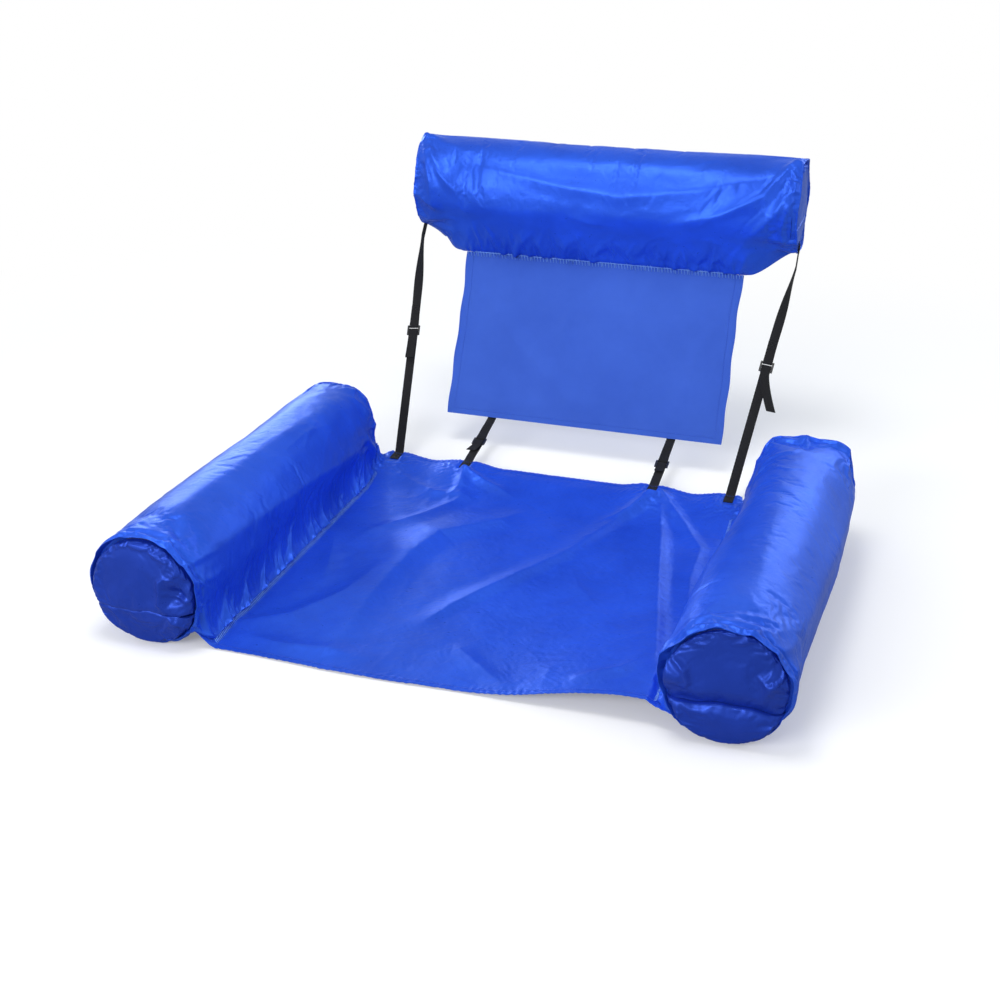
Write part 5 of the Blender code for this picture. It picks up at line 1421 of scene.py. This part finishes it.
def build_straps():
    x_line = np.array((1.0, 0, 0))
    threads = {"seat": [], "backrest": [], "headrest": []}
    for side, sign in (("left", -1), ("right", 1)):
        for place, x in (("inner", INNER_X), ("outer", OUTER_X)):
            name = side + "_" + place
            start = HINGE + (sign * x, 0, 0)
            if place == "outer":
                top = HINGE + (sign * (HEAD_HALF + GAP + WEB_DEPTH / 2), 0.350, 0.426)
                run = Run(start, top, 0.52)
            else:
                behind = 0.00075 + 0.0006 + GAP + WEB_DEPTH / 2
                hem = PANEL_FOOT - PANEL_OUT * behind - PANEL_UP * 0.0022 + (sign * x, 0, 0)
                run = Run(start, hem, 0.45)
            b = run.buckle
            # Foot: sewn on the seat, then round the hinge line
            y = np.linspace(SEAT_REAR - 0.0352, SEAT_REAR - 0.004, 8)
            lift = seat_lift(np.full(8, sign * x), y) + SEAT_CLOTH + 0.0003 + WEB_DEPTH / 2
            foot = [(np.array((sign * x, y[k], lift[k])), x_line) for k in range(8)]
            foot += [(start + (0, -0.001, 0), x_line), (start + run.along * 0.003, x_line)]
            foot += [(start + run.along * d, x_line) for d in (0.008, 0.014)]
            made = web_strip(name + "_foot", spaced(foot, 0.002))
            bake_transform(made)
            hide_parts(name + "_anchor")
            mid = foot[4][0]
            threads["seat"] += box_stitches(mid + (0, 0, 0.0009), x_line, np.array((0, 1.0, 0.12)),
                                            np.array((0, 0, 1.0)), BOX_HALF, 0.011)
            # Lower length, over the middle bar and down as the tail
            path = [(0.0140 - b, 0), (0.022 - b, -0.0002), (-b / 2, -OFFSET / 2)]
            path += [(-BAR_PITCH - SETTLE, -OFFSET), (-BAR_PITCH, -OFFSET), (0, -OFFSET)]
            path += loop_path(0, 1)[1:-1]
            path += [(0, OFFSET), (-BAR_PITCH - BAR, OFFSET)]
            tail = TAILS[name]
            stop = len(path)
            for share in np.linspace(0.1, 1, 10):
                path.append((-BAR_PITCH - BAR - tail * share, OFFSET + 0.10 * tail * share ** 1.5))
            turned = run.across
            stations = []
            for k, p in enumerate(path):
                toward = min(1.0, max(0.0, (p[0] + b - 0.014) / (b - 0.05))) if k < 4 else 1.0
                a = x_line * (1 - toward) + turned * toward
                swing = max(0, k - stop + 1) / 10
                aside = run.across * SWING.get(name, 0) * swing ** 1.3 * tail
                stations.append((run.at(*p) + aside, a / np.linalg.norm(a)))
            made = web_strip(name + "_lower", stations)
            run.at(0.016 - b, 0)
            run.at(-BAR_PITCH - 0.004, 0)
            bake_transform(made)
            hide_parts(name + "_lower_strap")
            # Upper length, round the top bar
            beside = WEB_DEPTH + 0.0004
            path = [(BAR_PITCH + 0.050, beside), (BAR_PITCH + 2.2 * SETTLE, beside)]
            path += [(BAR_PITCH + SETTLE, beside * 1.15), (BAR_PITCH + SETTLE / 2, OFFSET)]
            path += [(BAR_PITCH, OFFSET), *loop_path(BAR_PITCH, -1)[::-1][1:-1]]
            path += [(BAR_PITCH, -OFFSET), (BAR_PITCH + SETTLE / 2, -OFFSET)]
            path += [(BAR_PITCH + 2.2 * SETTLE, 0)]
            if place == "outer":
                path.append((BAR_PITCH + 0.050, 0))
            stations = [(run.at(*p), turned) for p in path]
            sewn_at = run.at(BAR_PITCH + 0.040, beside + WEB_DEPTH / 2 + 0.0002)
            threads["backrest"] += box_stitches(sewn_at, turned, run.along, run.front,
                                                BOX_HALF, 0.007)
            if place == "outer":
                flat = run.along * (0, 1, 1)
                flat = flat / np.linalg.norm(flat)
                edge = np.cross(flat, (sign, 0, 0)) * sign
                stop = top - run.along * 0.034
                stop[0] = top[0]
                base = stations[-1][0]
                for k in range(1, 26):
                    share = k / 26
                    turn = pi / 2 * smooth(share)
                    across = turned * cos(turn) + edge * sin(turn)
                    stations.append((base + (stop - base) * share, across))
                for reach in np.linspace(0, 0.058, 12):
                    stations.append((stop + flat * reach, edge))
                made = web_strip(name + "_upper", stations)
                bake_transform(made)
                out = np.array((sign, 0.0, 0.0))
                spot = top + flat * 0.012 + out * 0.0009
                threads["headrest"] += box_stitches(spot, edge, flat, out, BOX_HALF, 0.009)
            else:
                bend = [hem - run.along * (WEB / 2), hem, hem + PANEL_UP * (WEB / 2),
                        hem + PANEL_UP * 0.030]
                bend[0] = bend[0] + ((run.at(0, 0) - hem) @ run.front) * run.front
                first = bend[0] * 0.5 + bend[1] * 0.5 + (bend[2] - bend[0]) * 0.06
                stations += [(bend[0], x_line), (first, x_line)] + [(p, x_line) for p in bend[1:]]
                made = web_strip(name + "_upper", stations)
                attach(made, "backrest")
                spot = hem + PANEL_UP * 0.016 - PANEL_OUT * 0.0009
                threads["backrest"] += box_stitches(spot, x_line, PANEL_UP, -PANEL_OUT,
                                                    BOX_HALF, 0.009)
            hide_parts(name + "_upper_strap")
            frame["nodes"][name + "_buckle"].data.materials[0] = ACETAL
    for body, runs in threads.items():
        made = rods(body + "_box_stitches", runs, 0.00035, THREAD_BLACK, 5)
        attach(made, body)


# Everything

bolsters = [Arm("left", -1, 11), Arm("right", 1, 131), Headrest()]
sheet, sheet_held = seat_start()
cloths = {"seat": seat_cloth(sheet, sheet_held)}
for bolster in bolsters:
    cloths.update(bolster.cloths())
settled = settle(cloths)
sheet = seat_surface(settled["seat"], sheet_held)
for bolster in bolsters:
    bolster.build(settled, height_over(sheet))
build_seat(sheet)
build_panel()
build_straps()

for node, made in frame["nodes"].items():
    if node.endswith("_valve") or node.endswith("_plug"):
        made.data.materials[0] = VALVE
    elif node.endswith("_hook_strip"):
        made.data.materials[0] = HOOK
    elif node.endswith("_loop_strip"):
        made.data.materials[0] = LOOP


# Floor, light and camera

def lamp(name, place, target, size, power, tint=(1, 1, 1)):
    data = bpy.data.lights.new(name, "AREA")
    data.shape = "RECTANGLE"
    data.size, data.size_y = size
    data.energy = power
    data.color = tint
    made = bpy.data.objects.new(name, data)
    made.location = place
    made.rotation_mode = "QUATERNION"
    made.rotation_quaternion = (Vector(target) - Vector(place)).to_track_quat("-Z", "Y")
    made.visible_camera = False
    bpy.context.scene.collection.objects.link(made)


def floor():
    """Pale floor that keeps the shadow near the object and runs out into white further off."""
    made, tree, shader, node = nodes_of("studio_floor")
    tree.nodes.remove(shader)
    out = next(n for n in tree.nodes if n.type == "OUTPUT_MATERIAL")
    here = node("ShaderNodeTexCoord").outputs["Object"]
    far = node("ShaderNodeVectorMath", {0: here}, operation="LENGTH")
    fade = spread(node, far.outputs["Value"], (1.1, 2.6), (0.0, 1.0),
                  interpolation_type="SMOOTHSTEP")
    plain = node("ShaderNodeBsdfDiffuse", {"Color": (0.80, 0.80, 0.80, 1)})
    dull = node("ShaderNodeBsdfDiffuse", {"Color": (0.45, 0.45, 0.45, 1)})
    glow = node("ShaderNodeEmission", {"Color": (1, 1, 1, 1), "Strength": 0.22})
    white = node("ShaderNodeEmission", {"Color": (1, 1, 1, 1), "Strength": 1.0})
    seen = node("ShaderNodeLightPath")
    both = node("ShaderNodeAddShader", {0: plain.outputs[0], 1: glow.outputs[0]})
    shown = node("ShaderNodeMixShader", {0: fade, 1: both.outputs[0], 2: white.outputs[0]})
    pick = node("ShaderNodeMixShader", {0: seen.outputs["Is Camera Ray"], 1: dull.outputs[0],
                                        2: shown.outputs[0]})
    tree.links.new(pick.outputs[0], out.inputs["Surface"])
    data = bpy.data.meshes.new("studio_floor")
    corners = [(30 * x, 30 * y, -0.001) for x, y in ((-1, -1), (1, -1), (1, 1), (-1, 1))]
    data.from_pydata(corners, [], [(0, 1, 2, 3)])
    data.materials.append(made)
    plane = bpy.data.objects.new("studio_floor", data)
    bpy.context.scene.collection.objects.link(plane)


def world():
    """A white studio: bright walls round the object, a dimmer ceiling, white to the camera."""
    made = bpy.data.worlds.new("studio")
    bpy.context.scene.world = made
    made.use_nodes = True
    tree = made.node_tree
    node, dim = maker(tree), tree.nodes["Background"]
    way = node("ShaderNodeSeparateXYZ", {"Vector": node("ShaderNodeTexCoord").outputs["Generated"]})
    height = spread(node, way.outputs["Z"], (0.10, 0.75), (0.90, 0.42),
                    interpolation_type="SMOOTHSTEP")
    fill_in(tree, dim, {"Color": (0.94, 0.97, 1.0, 1), "Strength": height})
    white = node("ShaderNodeBackground", {"Color": (1, 1, 1, 1), "Strength": 1.0})
    seen = node("ShaderNodeLightPath")
    shown = maths(node, "MAXIMUM", seen.outputs["Is Camera Ray"],
                  seen.outputs["Is Transmission Ray"])
    pick = node("ShaderNodeMixShader", {0: shown, 1: dim.outputs[0], 2: white.outputs[0]})
    out = next(n for n in tree.nodes if n.type == "OUTPUT_WORLD")
    tree.links.new(pick.outputs[0], out.inputs["Surface"])


def camera():
    """The camera fitted to the photograph: its turns, its place and its focal length in pixels."""
    yaw, pitch, roll = 0.305372, 0.432823, 0.00408
    place, focal, picture, sensor = (0.723024, -2.254730, 1.263193), 1432.038, 1000, 36
    ahead = Vector((-sin(yaw) * cos(pitch), cos(yaw) * cos(pitch), -sin(pitch)))
    right = Vector((cos(yaw), sin(yaw), 0))
    up = right.cross(ahead)
    right, up = right * cos(roll) + up * sin(roll), up * cos(roll) - right * sin(roll)
    data = bpy.data.cameras.new("camera")
    data.sensor_width = sensor
    data.lens = focal * sensor / picture
    data.clip_start, data.clip_end = 0.05, 200
    made = bpy.data.objects.new("camera", data)
    rows = [(right[k], up[k], -ahead[k], place[k]) for k in range(3)]
    made.matrix_world = Matrix((*rows, (0, 0, 0, 1)))
    bpy.context.scene.collection.objects.link(made)
    bpy.context.scene.camera = made


floor()
world()
BLUISH = (0.80, 0.90, 1.0)
lamp("back_right", (1.5, 3.6, 1.9), (0.1, 0.2, 0.1), (2.0, 1.0), 24, BLUISH)
lamp("back_left", (-2.6, 3.2, 1.0), (-0.3, 0.1, 0.1), (1.4, 1.0), 26, BLUISH)
lamp("front", (-1.4, -3.5, 2.0), (0, 0.6, 0.3), (2.4, 0.9), 84)
lamp("right_side", (3.4, 0.2, 2.0), (0.3, 0.1, 0.1), (2.0, 1.0), 16)
lamp("top", (-0.3, -0.3, 3.2), (0, 0.2, 0), (1.2, 1.2), 36)
camera()
bpy.context.scene.view_settings.view_transform = "Standard"
